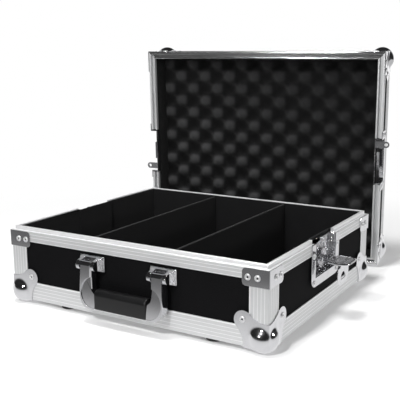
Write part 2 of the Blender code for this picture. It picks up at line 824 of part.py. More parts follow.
def build_handle(frame):
    """Front handle: two fixed mounts, and arms and grip that swing together."""
    pivot = MOUNT_BOTTOM + MOUNT_HEIGHT / 2.0
    axis_point = (CASE_WIDTH / 2.0, -PIVOT_OUT, pivot)
    swing = empty("handle_swing", frame, axis_point)
    middles = {}
    for name, way in (("left", -1.0), ("right", 1.0)):
        middle = CASE_WIDTH / 2.0 + way * HANDLE_SPACING / 2.0
        middles[name] = middle
        piece("handle_mount_%s" % name, handle_mount(middle), CHROME, frame, smooth=35)
    shift = Vector(axis_point)
    for name, middle in middles.items():
        inward = 1.0 if name == "left" else -1.0
        arm = remap(handle_arm(middle, inward), lambda x, y, z: Vector((x, y, z)) - shift)
        piece("handle_arm_%s" % name, arm, CHROME, swing, smooth=35)
    near = middles["left"] + ARM_WIDTH / 2.0 + FLARE + FIT
    far = middles["right"] - ARM_WIDTH / 2.0 - FLARE - FIT
    grip = remap(handle_grip(near, far), lambda x, y, z: Vector((x, y, z)) - shift)
    piece("handle_grip", grip, PLASTIC, swing, smooth=50)


def rotor_height():
    """Height of the latch rotor's axis in the base."""
    return BASE_HEIGHT - ROTOR_DROP


def pan_back():
    """Inner face of the pan's back wall, as distance out of the side face."""
    return -DISH_PAN_DEPTH + DISH_SHEET


def latch_hook():
    """Sliding hook plate with a slot for the rotor's shaft."""
    back = pan_back() + FIT
    face = back + HOOK_SHEET
    tip = back + HOOK_REACH
    top = BASE_HEIGHT + HOOK_TOP
    bottom = BASE_HEIGHT - HOOK_BOTTOM
    outline = [
        (back, bottom),
        (face, bottom),
        (face, top - HOOK_SHEET - HOOK_SHEET),
        (tip - HOOK_SHEET, top - HOOK_SHEET - HOOK_SHEET),
        (tip - HOOK_SHEET, top - HOOK_LIP),
        (tip, top - HOOK_LIP),
        (tip, top - HOOK_SHEET),
        (tip - HOOK_SHEET, top),
        (back, top),
    ]
    half = HOOK_WIDTH / 2.0
    plate = prism([(a, c) for a, c in outline], MIDDLE_DEPTH - half, MIDDLE_DEPTH + half, "Y")
    slot_half = ROTOR_SHAFT + 2.0 * FIT
    slot = block(
        (back - 0.01, MIDDLE_DEPTH - slot_half, rotor_height() - slot_half),
        (face + 0.001, MIDDLE_DEPTH + slot_half, rotor_height() + slot_half + HOOK_TRAVEL),
    )
    return cut(plate, slot)


def latch_rotor():
    """Turning disc with its shaft, stem and hinge barrel."""
    back = pan_back() + FIT
    disc_low = back + HOOK_SHEET + FIT
    disc_high = disc_low + ROTOR_THICKNESS
    centre = (MIDDLE_DEPTH, rotor_height())
    shape = rod(centre, ROTOR_RADIUS, disc_low, disc_high, "X", 28)
    shaft = rod(centre, ROTOR_SHAFT, back, disc_low + ROTOR_THICKNESS / 2.0, "X", 16)
    stem = block(
        (disc_low + ROTOR_THICKNESS / 2.0, centre[0] - STEM_WIDTH / 2.0, centre[1] - STEM_HEIGHT / 2.0),
        (BARREL_OUT, centre[0] + STEM_WIDTH / 2.0, centre[1] + STEM_HEIGHT / 2.0),
    )
    barrel = rod((BARREL_OUT, centre[1]), BARREL_RADIUS, centre[0] - BARREL_WIDTH / 2.0,
                 centre[0] + BARREL_WIDTH / 2.0, "Y", 16)
    reach = BARREL_WIDTH / 2.0 + KNUCKLE_WIDTH
    pin = rod((BARREL_OUT, centre[1]), WING_PIN, centre[0] - reach, centre[0] + reach, "Y", 12)
    return add(shape, shaft, stem, barrel, pin)


def upper_wing():
    """Upper wing: rounded plate with two knuckles, and two lugs below it for the lower wing."""
    level = rotor_height()
    half_sheet = WING_SHEET / 2.0
    root = BARREL_OUT + WING_ROOT
    half = WING_WIDTH / 2.0
    outline = rounded_rectangle(
        (root, MIDDLE_DEPTH - half),
        (root + WING_LENGTH - WING_ROOT, MIDDLE_DEPTH + half),
        (0.0, WING_CORNER, WING_CORNER, 0.0),
    )
    shape = prism(outline, level - half_sheet, level + half_sheet, "Z")
    start = BARREL_WIDTH / 2.0 + FIT
    for way in (-1.0, 1.0):
        near = MIDDLE_DEPTH + way * start
        far = MIDDLE_DEPTH + way * (start + KNUCKLE_WIDTH)
        profile = circle((BARREL_OUT, level), BARREL_RADIUS, 12, math.pi / 2.0, math.pi)
        profile += [(root + 0.002, level - BARREL_RADIUS * 0.6), (root + 0.002, level + BARREL_RADIUS * 0.6)]
        shape = add(shape, prism(profile, min(near, far), max(near, far), "Y"))
    reach = start + KNUCKLE_WIDTH + 0.002
    hole = rod((BARREL_OUT, level), WING_PIN + PIN_PLAY, MIDDLE_DEPTH - reach, MIDDLE_DEPTH + reach, "Y", 12)
    shape = cut(shape, hole)
    out = BARREL_OUT + FLAP_OUT
    drop = level - FLAP_DROP
    lug_start = FLAP_BARREL_WIDTH / 2.0 + FIT
    for way in (-1.0, 1.0):
        near = MIDDLE_DEPTH + way * lug_start
        far = MIDDLE_DEPTH + way * (lug_start + FLAP_LUG)
        profile = circle((out, drop), FLAP_BARREL, 10, math.pi, math.pi)
        profile += [(out + FLAP_BARREL, level), (out - FLAP_BARREL, level)]
        shape = add(shape, prism(profile, min(near, far), max(near, far), "Y"))
    pin_reach = lug_start + FLAP_LUG / 2.0
    pin = rod((out, drop), FLAP_PIN, MIDDLE_DEPTH - pin_reach, MIDDLE_DEPTH + pin_reach, "Y", 10)
    return add(shape, pin)


def lower_wing():
    """Lower wing: barrel on the upper wing's pin, and a hanging plate with an arched slot."""
    level = rotor_height()
    out = BARREL_OUT + FLAP_OUT
    drop = level - FLAP_DROP
    half = FLAP_WIDTH / 2.0
    bottom = drop - FLAP_LENGTH
    shoulder = drop - FLAP_BARREL - 4.0 * FIT
    outline = rounded_rectangle(
        (MIDDLE_DEPTH - half, bottom),
        (MIDDLE_DEPTH + half, shoulder),
        (FLAP_CORNER, FLAP_CORNER, 0.003, 0.003),
    )
    plate = prism(outline, out - FLAP_SHEET / 2.0, out + FLAP_SHEET / 2.0, "X")
    neck_half = FLAP_BARREL_WIDTH / 2.0 - FIT
    neck = block(
        (out - FLAP_SHEET / 2.0, MIDDLE_DEPTH - neck_half, shoulder - 0.001),
        (out + FLAP_SHEET / 2.0, MIDDLE_DEPTH + neck_half, drop - FLAP_PIN),
    )
    barrel = rod((out, drop), FLAP_BARREL, MIDDLE_DEPTH - FLAP_BARREL_WIDTH / 2.0,
                 MIDDLE_DEPTH + FLAP_BARREL_WIDTH / 2.0, "Y", 12)
    slot_low = bottom + FLAP_SLOT_UP
    slot_half = FLAP_SLOT_WIDTH / 2.0
    arch = rounded_rectangle(
        (MIDDLE_DEPTH - slot_half, slot_low),
        (MIDDLE_DEPTH + slot_half, slot_low + FLAP_SLOT_HEIGHT),
        (0.002, 0.002, FLAP_SLOT_HEIGHT * 0.8, FLAP_SLOT_HEIGHT * 0.8),
    )
    slot = prism(arch, out - 0.01, out + 0.01, "X")
    hole = rod((out, drop), FLAP_PIN + PIN_PLAY, MIDDLE_DEPTH - half, MIDDLE_DEPTH + half, "Y", 10)
    return cut(add(plate, neck, barrel), slot, hole)


def build_latches(frame):
    """Two side latches, each with a dish, sliding hook, rotor and two wings."""
    level = rotor_height()
    for side in ("left", "right"):
        rule = side_rule(side)
        shell = remap(dish(BASE_DISH_HEIGHT, BASE_DISH_MARGIN, BASE_HEIGHT), rule)
        piece("latch_%s_dish" % side, shell, CHROME, frame, smooth=35)
        spots = {
            "hook": rule(pan_back() + FIT, MIDDLE_DEPTH, level),
            "rotor": rule(pan_back() + FIT, MIDDLE_DEPTH, level),
            "upper_wing": rule(BARREL_OUT, MIDDLE_DEPTH, level),
            "lower_wing": rule(BARREL_OUT + FLAP_OUT, MIDDLE_DEPTH, level - FLAP_DROP),
        }
        makers = {"hook": latch_hook, "rotor": latch_rotor, "upper_wing": upper_wing, "lower_wing": lower_wing}
        for name, make in makers.items():
            shape = remap(make(), rule)
            piece("latch_%s_%s" % (side, name), shape, CHROME, frame, spots[name], smooth=35)


def build_lid_shell(frame):
    """Lid top and side walls in one, and the angles round its closed face in one frame."""
    inset = PANEL_INSET
    inner = PANEL_INSET + PANEL_SHEET
    top = LID_HEIGHT - LID_RIM_WEB - FIT
    shell = block((inset, inset, inset), (CASE_WIDTH - inset, CASE_DEPTH - inset, top))
    hollow = block((inner, inner, inner), (CASE_WIDTH - inner, CASE_DEPTH - inner, top + 0.01))
    shell = cut(shell, hollow)
    floor = LID_HEIGHT - LID_DISH_HEIGHT + LID_DISH_MARGIN
    for side in ("left", "right"):
        shell = cut(shell, pan_notch(side, floor, LID_HEIGHT, FIT))
    piece("lid_shell", shell, LAMINATE, frame)
    high = LID_HEIGHT - RIM_FACE - FIT
    skin = block((0.0, 0.0, 0.0), (CASE_WIDTH, CASE_DEPTH, high))
    inside = block(
        (ANGLE_SHEET, ANGLE_SHEET, ANGLE_SHEET),
        (CASE_WIDTH - ANGLE_SHEET, CASE_DEPTH - ANGLE_SHEET, high + 0.01),
    )
    leg = ANGLE_LEG
    far = 0.01
    face = block((leg, leg, -far), (CASE_WIDTH - leg, CASE_DEPTH - leg, far))
    ends = block((leg, -far, leg), (CASE_WIDTH - leg, CASE_DEPTH + far, high + far))
    sides = block((-far, leg, leg), (CASE_WIDTH + far, CASE_DEPTH - leg, high + far))
    skin = cut(skin, inside, face, ends, sides)
    snip = ANGLE_CORNER_GAP
    for end, side in corners():
        cube = block((-far, -far, -far), (snip, snip, snip))
        skin = cut(skin, remap(cube, corner_rule(side, end)))
    piece("lid_edge_frame", skin, ALUMINIUM, frame)


def foam_height(across, up):
    """Height of the egg-crate surface above the foam's underside."""
    wave = math.cos(2.0 * math.pi * across / FOAM_PITCH_ACROSS)
    wave *= math.cos(2.0 * math.pi * (up - FOAM_PHASE_UP) / FOAM_PITCH_UP)
    return FOAM_MIDDLE + FOAM_SWING * wave


def grid_lines(low, high, step):
    """Both limits and every multiple of the step between them."""
    lines = [low]
    place = step * (math.floor(low / step) + 1)
    while place < high - 0.001:
        if place > low + 0.001:
            lines.append(place)
        place += step
    return lines + [high]


def build_foam(frame):
    """Egg-crate foam with its side lining, pocketed round the keeper dishes."""
    bottom = PANEL_INSET + PANEL_SHEET + FIT
    top = LID_HEIGHT - LID_RIM_WEB - FIT
    outer = LINING_INSET
    inner = outer + FOAM_WALL
    tray = block((outer, outer, bottom), (CASE_WIDTH - outer, CASE_DEPTH - outer, top))
    hollow = block(
        (inner, inner, bottom + FOAM_FLOOR),
        (CASE_WIDTH - inner, CASE_DEPTH - inner, top + 0.01),
    )
    tray = cut(tray, hollow)
    edge = outer + FOAM_WALL / 2.0
    across = grid_lines(edge, CASE_WIDTH - edge, FOAM_PITCH_ACROSS / 2.0)
    along = grid_lines(edge, CASE_DEPTH - edge, FOAM_PITCH_UP / 2.0)
    under = bottom + FOAM_FLOOR / 2.0
    field = bmesh.new()
    upper = [[field.verts.new((x, y, bottom + foam_height(x, y))) for y in along] for x in across]
    lower = {}
    for row, x in enumerate(across):
        for column, y in enumerate(along):
            if row in (0, len(across) - 1) or column in (0, len(along) - 1):
                lower[row, column] = field.verts.new((x, y, under))
    for row in range(len(across) - 1):
        for column in range(len(along) - 1):
            x = (across[row] + across[row + 1]) / 2.0
            y = (along[column] + along[column + 1]) / 2.0
            middle = field.verts.new((x, y, bottom + foam_height(x, y)))
            loop = [upper[row][column], upper[row + 1][column], upper[row + 1][column + 1], upper[row][column + 1]]
            for here in range(4):
                field.faces.new((loop[here], loop[(here + 1) % 4], middle))
    last_row = len(across) - 1
    last_column = len(along) - 1
    rim = [(row, 0) for row in range(last_row)]
    rim += [(last_row, column) for column in range(last_column)]
    rim += [(row, last_column) for row in range(last_row, 0, -1)]
    rim += [(0, column) for column in range(last_column, 0, -1)]
    for here, place in enumerate(rim):
        after = rim[(here + 1) % len(rim)]
        field.faces.new((
            lower[place],
            lower[after],
            upper[after[0]][after[1]],
            upper[place[0]][place[1]],
        ))
    field.faces.new([lower[place] for place in reversed(rim)])
    foam = add(tray, field)
    floor = LID_HEIGHT - LID_DISH_HEIGHT + LID_DISH_MARGIN
    for side in ("left", "right"):
        foam = cut(foam, pan_notch(side, floor, LID_HEIGHT, FIT))
    piece("lid_foam", foam, FOAM, frame)


def build_keepers(frame):
    """Keeper dishes with a catch and a padlock eye, in the lid's sides."""
    for side in ("left", "right"):
        shape = dish(LID_DISH_HEIGHT, LID_DISH_MARGIN, LID_HEIGHT)
        back = -DISH_PAN_DEPTH + DISH_SHEET / 2.0
        front = -DISH_PAN_DEPTH + DISH_SHEET + CATCH_DEPTH
        half = CATCH_WIDTH / 2.0
        level = LID_HEIGHT - CATCH_DROP
        outline = [
            (back, level),
            (front, level),
            (front, level + CATCH_LIP),
            (front - CATCH_SHEET, level + CATCH_LIP),
            (front - CATCH_SHEET, level + CATCH_SHEET),
            (back, level + CATCH_SHEET),
        ]
        catch = prism(outline, MIDDLE_DEPTH - half, MIDDLE_DEPTH + half, "Y")
        along = MIDDLE_DEPTH + EYE_OFFSET
        low = LID_HEIGHT - EYE_DROP - EYE_SHEET
        reach = EYE_RADIUS
        eye = circle((EYE_OUT, along), EYE_RADIUS, 14, -math.pi / 2.0, math.pi)
        eye += [(back, along + reach), (back, along - reach)]
        tab = prism(eye, low, low + EYE_SHEET, "Z")
        hole = rod((EYE_OUT, along), EYE_HOLE, low - 0.01, low + 0.01, "Z", 16)
        shape = cut(add(shape, catch, tab), hole)
        piece("lid_keeper_dish_%s" % side, remap(shape, side_rule(side)), CHROME, frame, smooth=35)


def lid_stand(root):
    """Frame of the lid: standing on its lower ball corners, turned and leaning to the base."""
    lean = math.sin(LID_LEAN)
    upright = math.cos(LID_LEAN)
    lift = BALL_RADIUS - lean * (LID_HEIGHT - BALL_INSET) - upright * BALL_INSET
    touch = BALL_DROP + BASE_HEIGHT - BASE_BRACKET_DROP
    bracket_gap = FIT + BRACKET_SHEET + (touch - lift) / upright * lean
    beside = (BALL_INSET - LID_SHIFT) * upright * math.sin(LID_TURN)
    reach = BALL_RADIUS + (BALL_RADIUS - lift) * lean - beside
    ball_gap = reach / (upright * math.cos(LID_TURN)) - BALL_INSET
    gap = LID_REST_GAP + max(bracket_gap, ball_gap)
    turn = (math.pi / 2.0 + LID_LEAN, 0.0, LID_TURN)
    stand = empty("lid_stand", root, (LID_SHIFT, CASE_DEPTH + gap, lift), turn)
    return empty("lid_frame", stand, (0.0, 0.0, -LID_HEIGHT))


def centre_on_floor(root):
    """Put the frame's origin under the middle of the whole model, on the floor."""
    bpy.context.view_layer.update()
    points = []
    for thing in bpy.data.objects:
        if thing.type == "MESH":
            points.extend(thing.matrix_world @ vert.co for vert in thing.data.vertices)
    low = [min(point[axis] for point in points) for axis in range(3)]
    high = [max(point[axis] for point in points) for axis in range(3)]
    root.location = (-(low[0] + high[0]) / 2.0, -(low[1] + high[1]) / 2.0, -low[2])
    bpy.context.view_layer.update()


def main():
    """Build the whole case."""
    clear_scene()
    root = empty("case")
    base = empty("base_frame", root, (0.0, 0.0, BALL_DROP))
    build_panels(base)
    build_base_angles(base)
    build_hardware(base, "base", BASE_HEIGHT, BASE_BRACKET_DROP)
    build_feet(base)
    build_inside(base)
    build_handle(base)
    build_latches(base)
    lid = lid_stand(root)
    build_lid_shell(lid)
    build_hardware(lid, "lid", LID_HEIGHT, LID_BRACKET_DROP)
    build_foam(lid)
    build_keepers(lid)
    centre_on_floor(root)


main()
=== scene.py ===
"""Looks of an open storage flight case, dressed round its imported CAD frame.

Lengths are in metres. Each half of the case, base and lid, is shaped in its own half coordinates:
x across from the left outer face, y from the front outer face, z from the closed outer face up to
the rim shoulder. A half's place then puts its meshes into the row frame.
"""
import logging
import math
from dataclasses import dataclass, field
from enum import Enum
from itertools import product
from typing import Callable, Iterable, Optional, Sequence, Union

import bmesh
import bpy
import numpy as np
from mathutils import Euler, Matrix, Vector


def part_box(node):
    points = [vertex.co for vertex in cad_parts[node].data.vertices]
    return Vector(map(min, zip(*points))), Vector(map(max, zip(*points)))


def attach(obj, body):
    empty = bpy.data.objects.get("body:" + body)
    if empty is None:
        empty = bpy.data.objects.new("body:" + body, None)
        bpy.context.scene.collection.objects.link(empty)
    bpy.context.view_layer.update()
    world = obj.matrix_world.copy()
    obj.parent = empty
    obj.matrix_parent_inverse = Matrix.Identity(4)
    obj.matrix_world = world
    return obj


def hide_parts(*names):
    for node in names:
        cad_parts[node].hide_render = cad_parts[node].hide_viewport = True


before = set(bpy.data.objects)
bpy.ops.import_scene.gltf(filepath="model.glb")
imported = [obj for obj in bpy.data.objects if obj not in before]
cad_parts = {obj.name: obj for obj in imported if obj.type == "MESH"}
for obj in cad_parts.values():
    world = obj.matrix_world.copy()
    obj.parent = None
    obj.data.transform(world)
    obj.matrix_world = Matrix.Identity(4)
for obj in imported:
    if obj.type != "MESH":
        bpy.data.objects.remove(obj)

LOG = logging.getLogger("flight_case")

Point = tuple[float, float, float]
Flat = tuple[float, float]
Row = list[Point]
Depth = Callable[[Vector], float]
Carving = Callable[[bmesh.types.BMesh], None]

FIT = 0.0003
RIB = 0.00025
RIVET_SEAT = 0.0015


class Side(Enum):
    """Left or right of the case, seen from its front."""

    LEFT = "left"
    RIGHT = "right"


class End(Enum):
    """Front or back of a half; on the standing lid, lower or upper."""

    FRONT = 0
    BACK = 1


class Grain(Enum):
    """Direction in which a profile was drawn, in its half's coordinates."""

    ACROSS = (1.0, 34.0, 34.0)
    ALONG = (34.0, 1.0, 34.0)
    UP = (34.0, 34.0, 1.0)


class Slot(Enum):
    """Names of material slots."""

    ALUMINIUM = "aluminium"
    CHROME = "chrome"
    LINING = "black_lining"
    FOAM = "black_foam"
    RUBBER = "black_rubber"
    PLASTIC = "black_plastic"


class Wire:
    """A socket of a node tree that can be summed like a number or a vector."""

    def __init__(self, graph: "Graph", socket: bpy.types.NodeSocket) -> None:
        """Keep the socket and the graph that it is in."""
        self.graph = graph
        self.socket = socket

    def _sum(self, operation: str, first: "Term", second: "Term") -> "Wire":
        """Add one Math or Vector Math node for two terms.

        Args:
            operation: The node's operation.
            first: Left term.
            second: Right term.

        Returns:
            The node's result.
        """
        terms = [first, second]
        kinds = [term.socket.type if isinstance(term, Wire) else type(term) for term in terms]
        vectors = [kind in ("VECTOR", tuple) for kind in kinds]
        if not any(vectors):
            return self.graph.node("ShaderNodeMath", {"operation": operation}, {0: first, 1: second})
        if operation == "MULTIPLY" and not all(vectors):
            vector, number = terms if vectors[0] else terms[::-1]
            values = {"Vector": vector, "Scale": number}
            return self.graph.node("ShaderNodeVectorMath", {"operation": "SCALE"}, values)
        return self.graph.node("ShaderNodeVectorMath", {"operation": operation}, {0: first, 1: second})

    def __add__(self, other: "Term") -> "Wire":
        """Sum."""
        return self._sum("ADD", self, other)

    def __radd__(self, other: "Term") -> "Wire":
        """Sum, reflected."""
        return self._sum("ADD", other, self)

    def __sub__(self, other: "Term") -> "Wire":
        """Difference."""
        return self._sum("SUBTRACT", self, other)

    def __rsub__(self, other: "Term") -> "Wire":
        """Difference, reflected."""
        return self._sum("SUBTRACT", other, self)

    def __mul__(self, other: "Term") -> "Wire":
        """Product."""
        return self._sum("MULTIPLY", self, other)

    def __rmul__(self, other: "Term") -> "Wire":
        """Product, reflected."""
        return self._sum("MULTIPLY", other, self)

    def __truediv__(self, other: "Term") -> "Wire":
        """Quotient."""
        return self._sum("DIVIDE", self, other)

    def apply(self, operation: str, other: "Term" = 0.0) -> "Wire":
        """Any other Math operation on this number."""
        return self.graph.node("ShaderNodeMath", {"operation": operation}, {0: self, 1: other})

    def dot(self, other: Point) -> "Wire":
        """Dot product of this vector and another."""
        settings = {"operation": "DOT_PRODUCT"}
        return self.graph.node("ShaderNodeVectorMath", settings, {0: self, 1: other}, "Value")

    def split(self) -> tuple["Wire", "Wire", "Wire"]:
        """The three parts of a vector."""
        parts = self.graph.node("ShaderNodeSeparateXYZ", {}, {"Vector": self})
        return tuple(parts.twin(name) for name in "XYZ")

    def twin(self, name: str) -> "Wire":
        """Another output of the node that this one comes from."""
        return Wire(self.graph, self.socket.node.outputs[name])

    def fade(self, low: float, high: float, start: float = 0.0, end: float = 1.0) -> "Wire":
        """Smooth step from start to end while this number goes from low to high.

        Args:
            low: Number at which the step starts.
            high: Number at which it ends.
            start: Result up to low.
            end: Result from high on.

        Returns:
            The stepped number.
        """
        settings = {"interpolation_type": "SMOOTHSTEP"}
        values = {"Value": self, "From Min": low, "From Max": high, "To Min": start, "To Max": end}
        return self.graph.node("ShaderNodeMapRange", settings, values)

    def between(self, first: tuple, second: tuple) -> "Wire":
        """Mix of two colours, with this number as the share of the second."""
        settings = {"data_type": "RGBA", "blend_type": "MIX"}
        return self.graph.node("ShaderNodeMix", settings, {0: self, 6: first, 7: second}, 2)

    def bump(self, depth: float, strength: float = 1.0) -> "Wire":
        """Normal that is bumped by this height from 0 to 1, its depth in metres."""
        values = {"Height": self, "Distance": depth, "Strength": strength}
        return self.graph.node("ShaderNodeBump", {}, values)


Term = Union[Wire, float, tuple]


class Graph:
    """A node tree and the one method that adds nodes to it."""

    def __init__(self, tree: bpy.types.NodeTree) -> None:
        """Start from an empty tree."""
        self.tree = tree
        tree.nodes.clear()

    def node(self, kind: str, settings: dict, values: dict, out: Union[int, str] = 0) -> Wire:
        """Add a node.

        Args:
            kind: The node's type.
            settings: Properties, set first.
            values: Values, wires or lists of wires by socket name or number.
            out: Name or number of the output that is wanted.

        Returns:
            That output.
        """
        made = self.tree.nodes.new(kind)
        for name, value in settings.items():
            setattr(made, name, value)
        for name, value in values.items():
            socket = made.inputs[name]
            if isinstance(value, (Wire, list)):
                for wire in value if isinstance(value, list) else [value]:
                    self.tree.links.new(wire.socket, socket)
            elif socket.type == "RGBA" and len(value) == 3:
                socket.default_value = (*value, 1.0)
            else:
                socket.default_value = value
        return Wire(self, made.outputs[out] if made.outputs else None)

    def noise(self, place: Wire, scale: float, detail: float = 2.0, roughness: float = 0.5) -> Wire:
        """Noise from 0 to 1 at a place, its scale in cells a metre."""
        values = {"Vector": place, "Scale": scale, "Detail": detail, "Roughness": roughness}
        return self.node("ShaderNodeTexNoise", {}, values, "Fac")

    def cells(self, place: Wire, scale: float, feature: str) -> Wire:
        """Distance from the nearest cell's middle, its scale in cells a metre."""
        values = {"Vector": place, "Scale": scale}
        return self.node("ShaderNodeTexVoronoi", {"feature": feature}, values, "Distance")

    def rays(self) -> tuple[Wire, Wire]:
        """Whether a ray is glossy, and whether it comes straight or through glass from the camera."""
        seen = self.node("ShaderNodeLightPath", {}, {}, "Is Camera Ray")
        return seen.twin("Is Glossy Ray"), seen + seen.twin("Is Transmission Ray")


class Group(Graph):
    """A Geometry Nodes tree with named inputs, for one object."""

    kinds = {float: "Float", int: "Int", bpy.types.Material: "Material"}

    def __init__(self, name: str, wanted: dict) -> None:
        """Args:
            name: Name of the tree.
            wanted: Values by the inputs' names. Each input is of its value's type.
        """
        super().__init__(bpy.data.node_groups.new(name, "GeometryNodeTree"))
        self.wanted = wanted
        face = self.tree.interface
        face.new_socket("Geometry", in_out="INPUT", socket_type="NodeSocketGeometry")
        for title, value in wanted.items():
            face.new_socket(title, in_out="INPUT", socket_type="NodeSocket" + self.kinds[type(value)])
        face.new_socket("Geometry", in_out="OUTPUT", socket_type="NodeSocketGeometry")
        source = self.tree.nodes.new("NodeGroupInput")
        self.given = {socket.name: Wire(self, socket) for socket in source.outputs if socket.name}

    def realize(self, geometry: Wire, finish: Wire) -> Wire:
        """Real geometry, made of one finish."""
        real = self.node("GeometryNodeRealizeInstances", {}, {"Geometry": geometry})
        return self.node("GeometryNodeSetMaterial", {}, {"Geometry": real, "Material": finish})

    def grow(self, thing: bpy.types.Object, result: Wire) -> None:
        """Close the tree, run it on an object and put what it makes into the mesh.

        Args:
            thing: The object.
            result: The tree's result.
        """
        sink = self.tree.nodes.new("NodeGroupOutput")
        self.tree.links.new(result.socket, sink.inputs[0])
        nodes = thing.modifiers.new(self.tree.name, "NODES")
        nodes.node_group = self.tree
        for item in self.tree.interface.items_tree:
            if item.item_type == "SOCKET" and item.in_out == "INPUT" and item.name in self.wanted:
                nodes[item.identifier] = self.wanted[item.name]
        bake(thing)


@dataclass(frozen=True)
class Finish:
    """A procedural surface finish. Its patterns read Object coordinates.

    Attributes:
        name: Name of the material.
        colour: Base colour, linear.
        roughness: Middle roughness.
        metallic: Share of metal.
        turn: Euler angles that turn the pattern onto its half.
        spot: Origin of the pattern.
    """

    name: str
    colour: Point
    roughness: float
    metallic: float = 0.0
    turn: Point = (0.0, 0.0, 0.0)
    spot: Point = (0.0, 0.0, 0.0)

    def constants(self) -> dict:
        """Numbers that are the same all over the surface, by socket name."""
        return {}

    def surface(self, graph: Graph, place: Wire) -> dict:
        """What changes over the surface, by socket name."""
        return {"Base Color": self.colour, "Roughness": self.roughness}

    def tone(self, share: Wire, first: float, second: float) -> Wire:
        """Mix of two multiples of the colour, with the share of the second."""
        return share.between(*(tuple(part * times for part in self.colour) for times in (first, second)))

    def material(self) -> bpy.types.Material:
        """Build the material once and keep it by name.

        Returns:
            The material.
        """
        known = bpy.data.materials.get(self.name)
        if known:
            return known
        made = bpy.data.materials.new(self.name)
        made.use_nodes = True
        graph = Graph(made.node_tree)
        place = graph.node("ShaderNodeTexCoord", {}, {}, "Object")
        if any(self.turn) or any(self.spot):
            values = {"Vector": place, "Rotation": self.turn, "Location": self.spot}
            place = graph.node("ShaderNodeMapping", {"vector_type": "TEXTURE"}, values)
        values = {"Metallic": self.metallic, **self.constants(), **self.surface(graph, place)}
        shader = graph.node("ShaderNodeBsdfPrincipled", {}, values)
        graph.node("ShaderNodeOutputMaterial", {}, {"Surface": shader})
        made.diffuse_color = (*self.colour, 1.0)
        return made


@dataclass(frozen=True)
class DrawnAluminium(Finish):
    """Satin aluminium profile with faint drawing lines along its length.

    Attributes:
        grain: Direction of the lines.
        depth: Their depth.
    """

    grain: Grain = Grain.ACROSS
    depth: float = 0.00012

    def surface(self, graph: Graph, place: Wire) -> dict:
        """Drawing lines, fine and coarse, soft patches and a few fine scratches.

        Args:
            graph: The material's graph.
            place: Coordinates of the pattern.

        Returns:
            Values and wires by socket name.
        """
        drawn = place * self.grain.value
        lines = graph.noise(drawn, 26.0, 3.0, 0.65) * 0.55 + graph.noise(drawn, 9.0) * 0.45
        patches = graph.noise(place, 14.0)
        scratches = graph.noise(drawn, 90.0, 1.0).fade(0.70, 0.76)
        shade = (lines - 0.5) * 0.16 + (patches - 0.5) * 0.10
        return {
            "Base Color": self.tone(0.5 - shade * 2.5, 1.06, 0.90),
            "Roughness": self.roughness + (lines - 0.5) * 0.16 + scratches * 0.08,
            "Normal": lines.bump(self.depth, 0.6),
        }


@dataclass(frozen=True)
class Chrome(Finish):
    """Bright plated steel with faint smudges."""

    def surface(self, graph: Graph, place: Wire) -> dict:
        """Smudges and polishing marks.

        Args:
            graph: The material's graph.
            place: Coordinates of the pattern.

        Returns:
            Values and wires by socket name.
        """
        smudge = graph.noise(place, 60.0, 3.0, 0.6).fade(0.42, 0.72)
        polish = graph.noise(place * (1.0, 1.0, 5.0), 420.0)
        return {
            "Base Color": self.tone(smudge * 0.7, 1.0, 0.93),
            "Roughness": self.roughness + smudge * 0.09 + (polish - 0.5) * 0.05,
        }


@dataclass(frozen=True)
class PressedChrome(Chrome):
    """Chrome that the press or the mould left rippled.

    Attributes:
        face: Distance from the case's middle plane up to which it ripples.
        depth: Depth of the ripples.
    """

    face: float = 0.235
    depth: float = 0.0023

    def surface(self, graph: Graph, place: Wire) -> dict:
        """Smudges, and ripples below the face.

        Args:
            graph: The material's graph.
            place: Coordinates of the pattern.

        Returns:
            Values and wires by socket name.
        """
        inside = place.split()[0].apply("ABSOLUTE").fade(self.face - 0.003, self.face, 1.0, 0.0)
        ripples = graph.noise(place, 330.0, 2.0, 0.65) * inside
        return {**super().surface(graph, place), "Normal": ripples.bump(self.depth)}


@dataclass(frozen=True)
class Laminate(Finish):
    """Black grained laminate on plywood."""

    def constants(self) -> dict:
        """Dull gloss."""
        return {"Specular IOR Level": 0.02}

    def surface(self, graph: Graph, place: Wire) -> dict:
        """Pebble grain with slight wear.

        Args:
            graph: The material's graph.
            place: Coordinates of the pattern.

        Returns:
            Values and wires by socket name.
        """
        grain = graph.cells(place, 620.0, "SMOOTH_F1").fade(0.1, 0.75)
        wide = graph.noise(place, 9.0, 3.0)
        return {
            "Base Color": self.tone(wide * 0.5 + grain * 0.5, 1.0, 1.7),
            "Roughness": self.roughness + (wide - 0.5) * 0.14 + grain * 0.06,
            "Normal": grain.bump(0.00012, 0.7),
        }


@dataclass(frozen=True)
class Felt(Finish):
    """Short black pile on board."""

    def constants(self) -> dict:
        """Soft sheen of the pile."""
        return {"Sheen Weight": 0.09, "Sheen Roughness": 0.45, "Specular IOR Level": 0.10}

    def surface(self, graph: Graph, place: Wire) -> dict:
        """Pile in clumps, and rubbed patches.

        Args:
            graph: The material's graph.
            place: Coordinates of the pattern.

        Returns:
            Values and wires by socket name.
        """
        pile = graph.noise(place, 1500.0, 3.0, 0.7)
        rubbed = graph.noise(place, 22.0, 3.0)
        return {
            "Base Color": self.tone(pile * 0.5 + rubbed * 0.5, 0.6, 1.6),
            "Roughness": self.roughness - rubbed * 0.06,
            "Normal": pile.bump(0.0004, 0.8),
        }


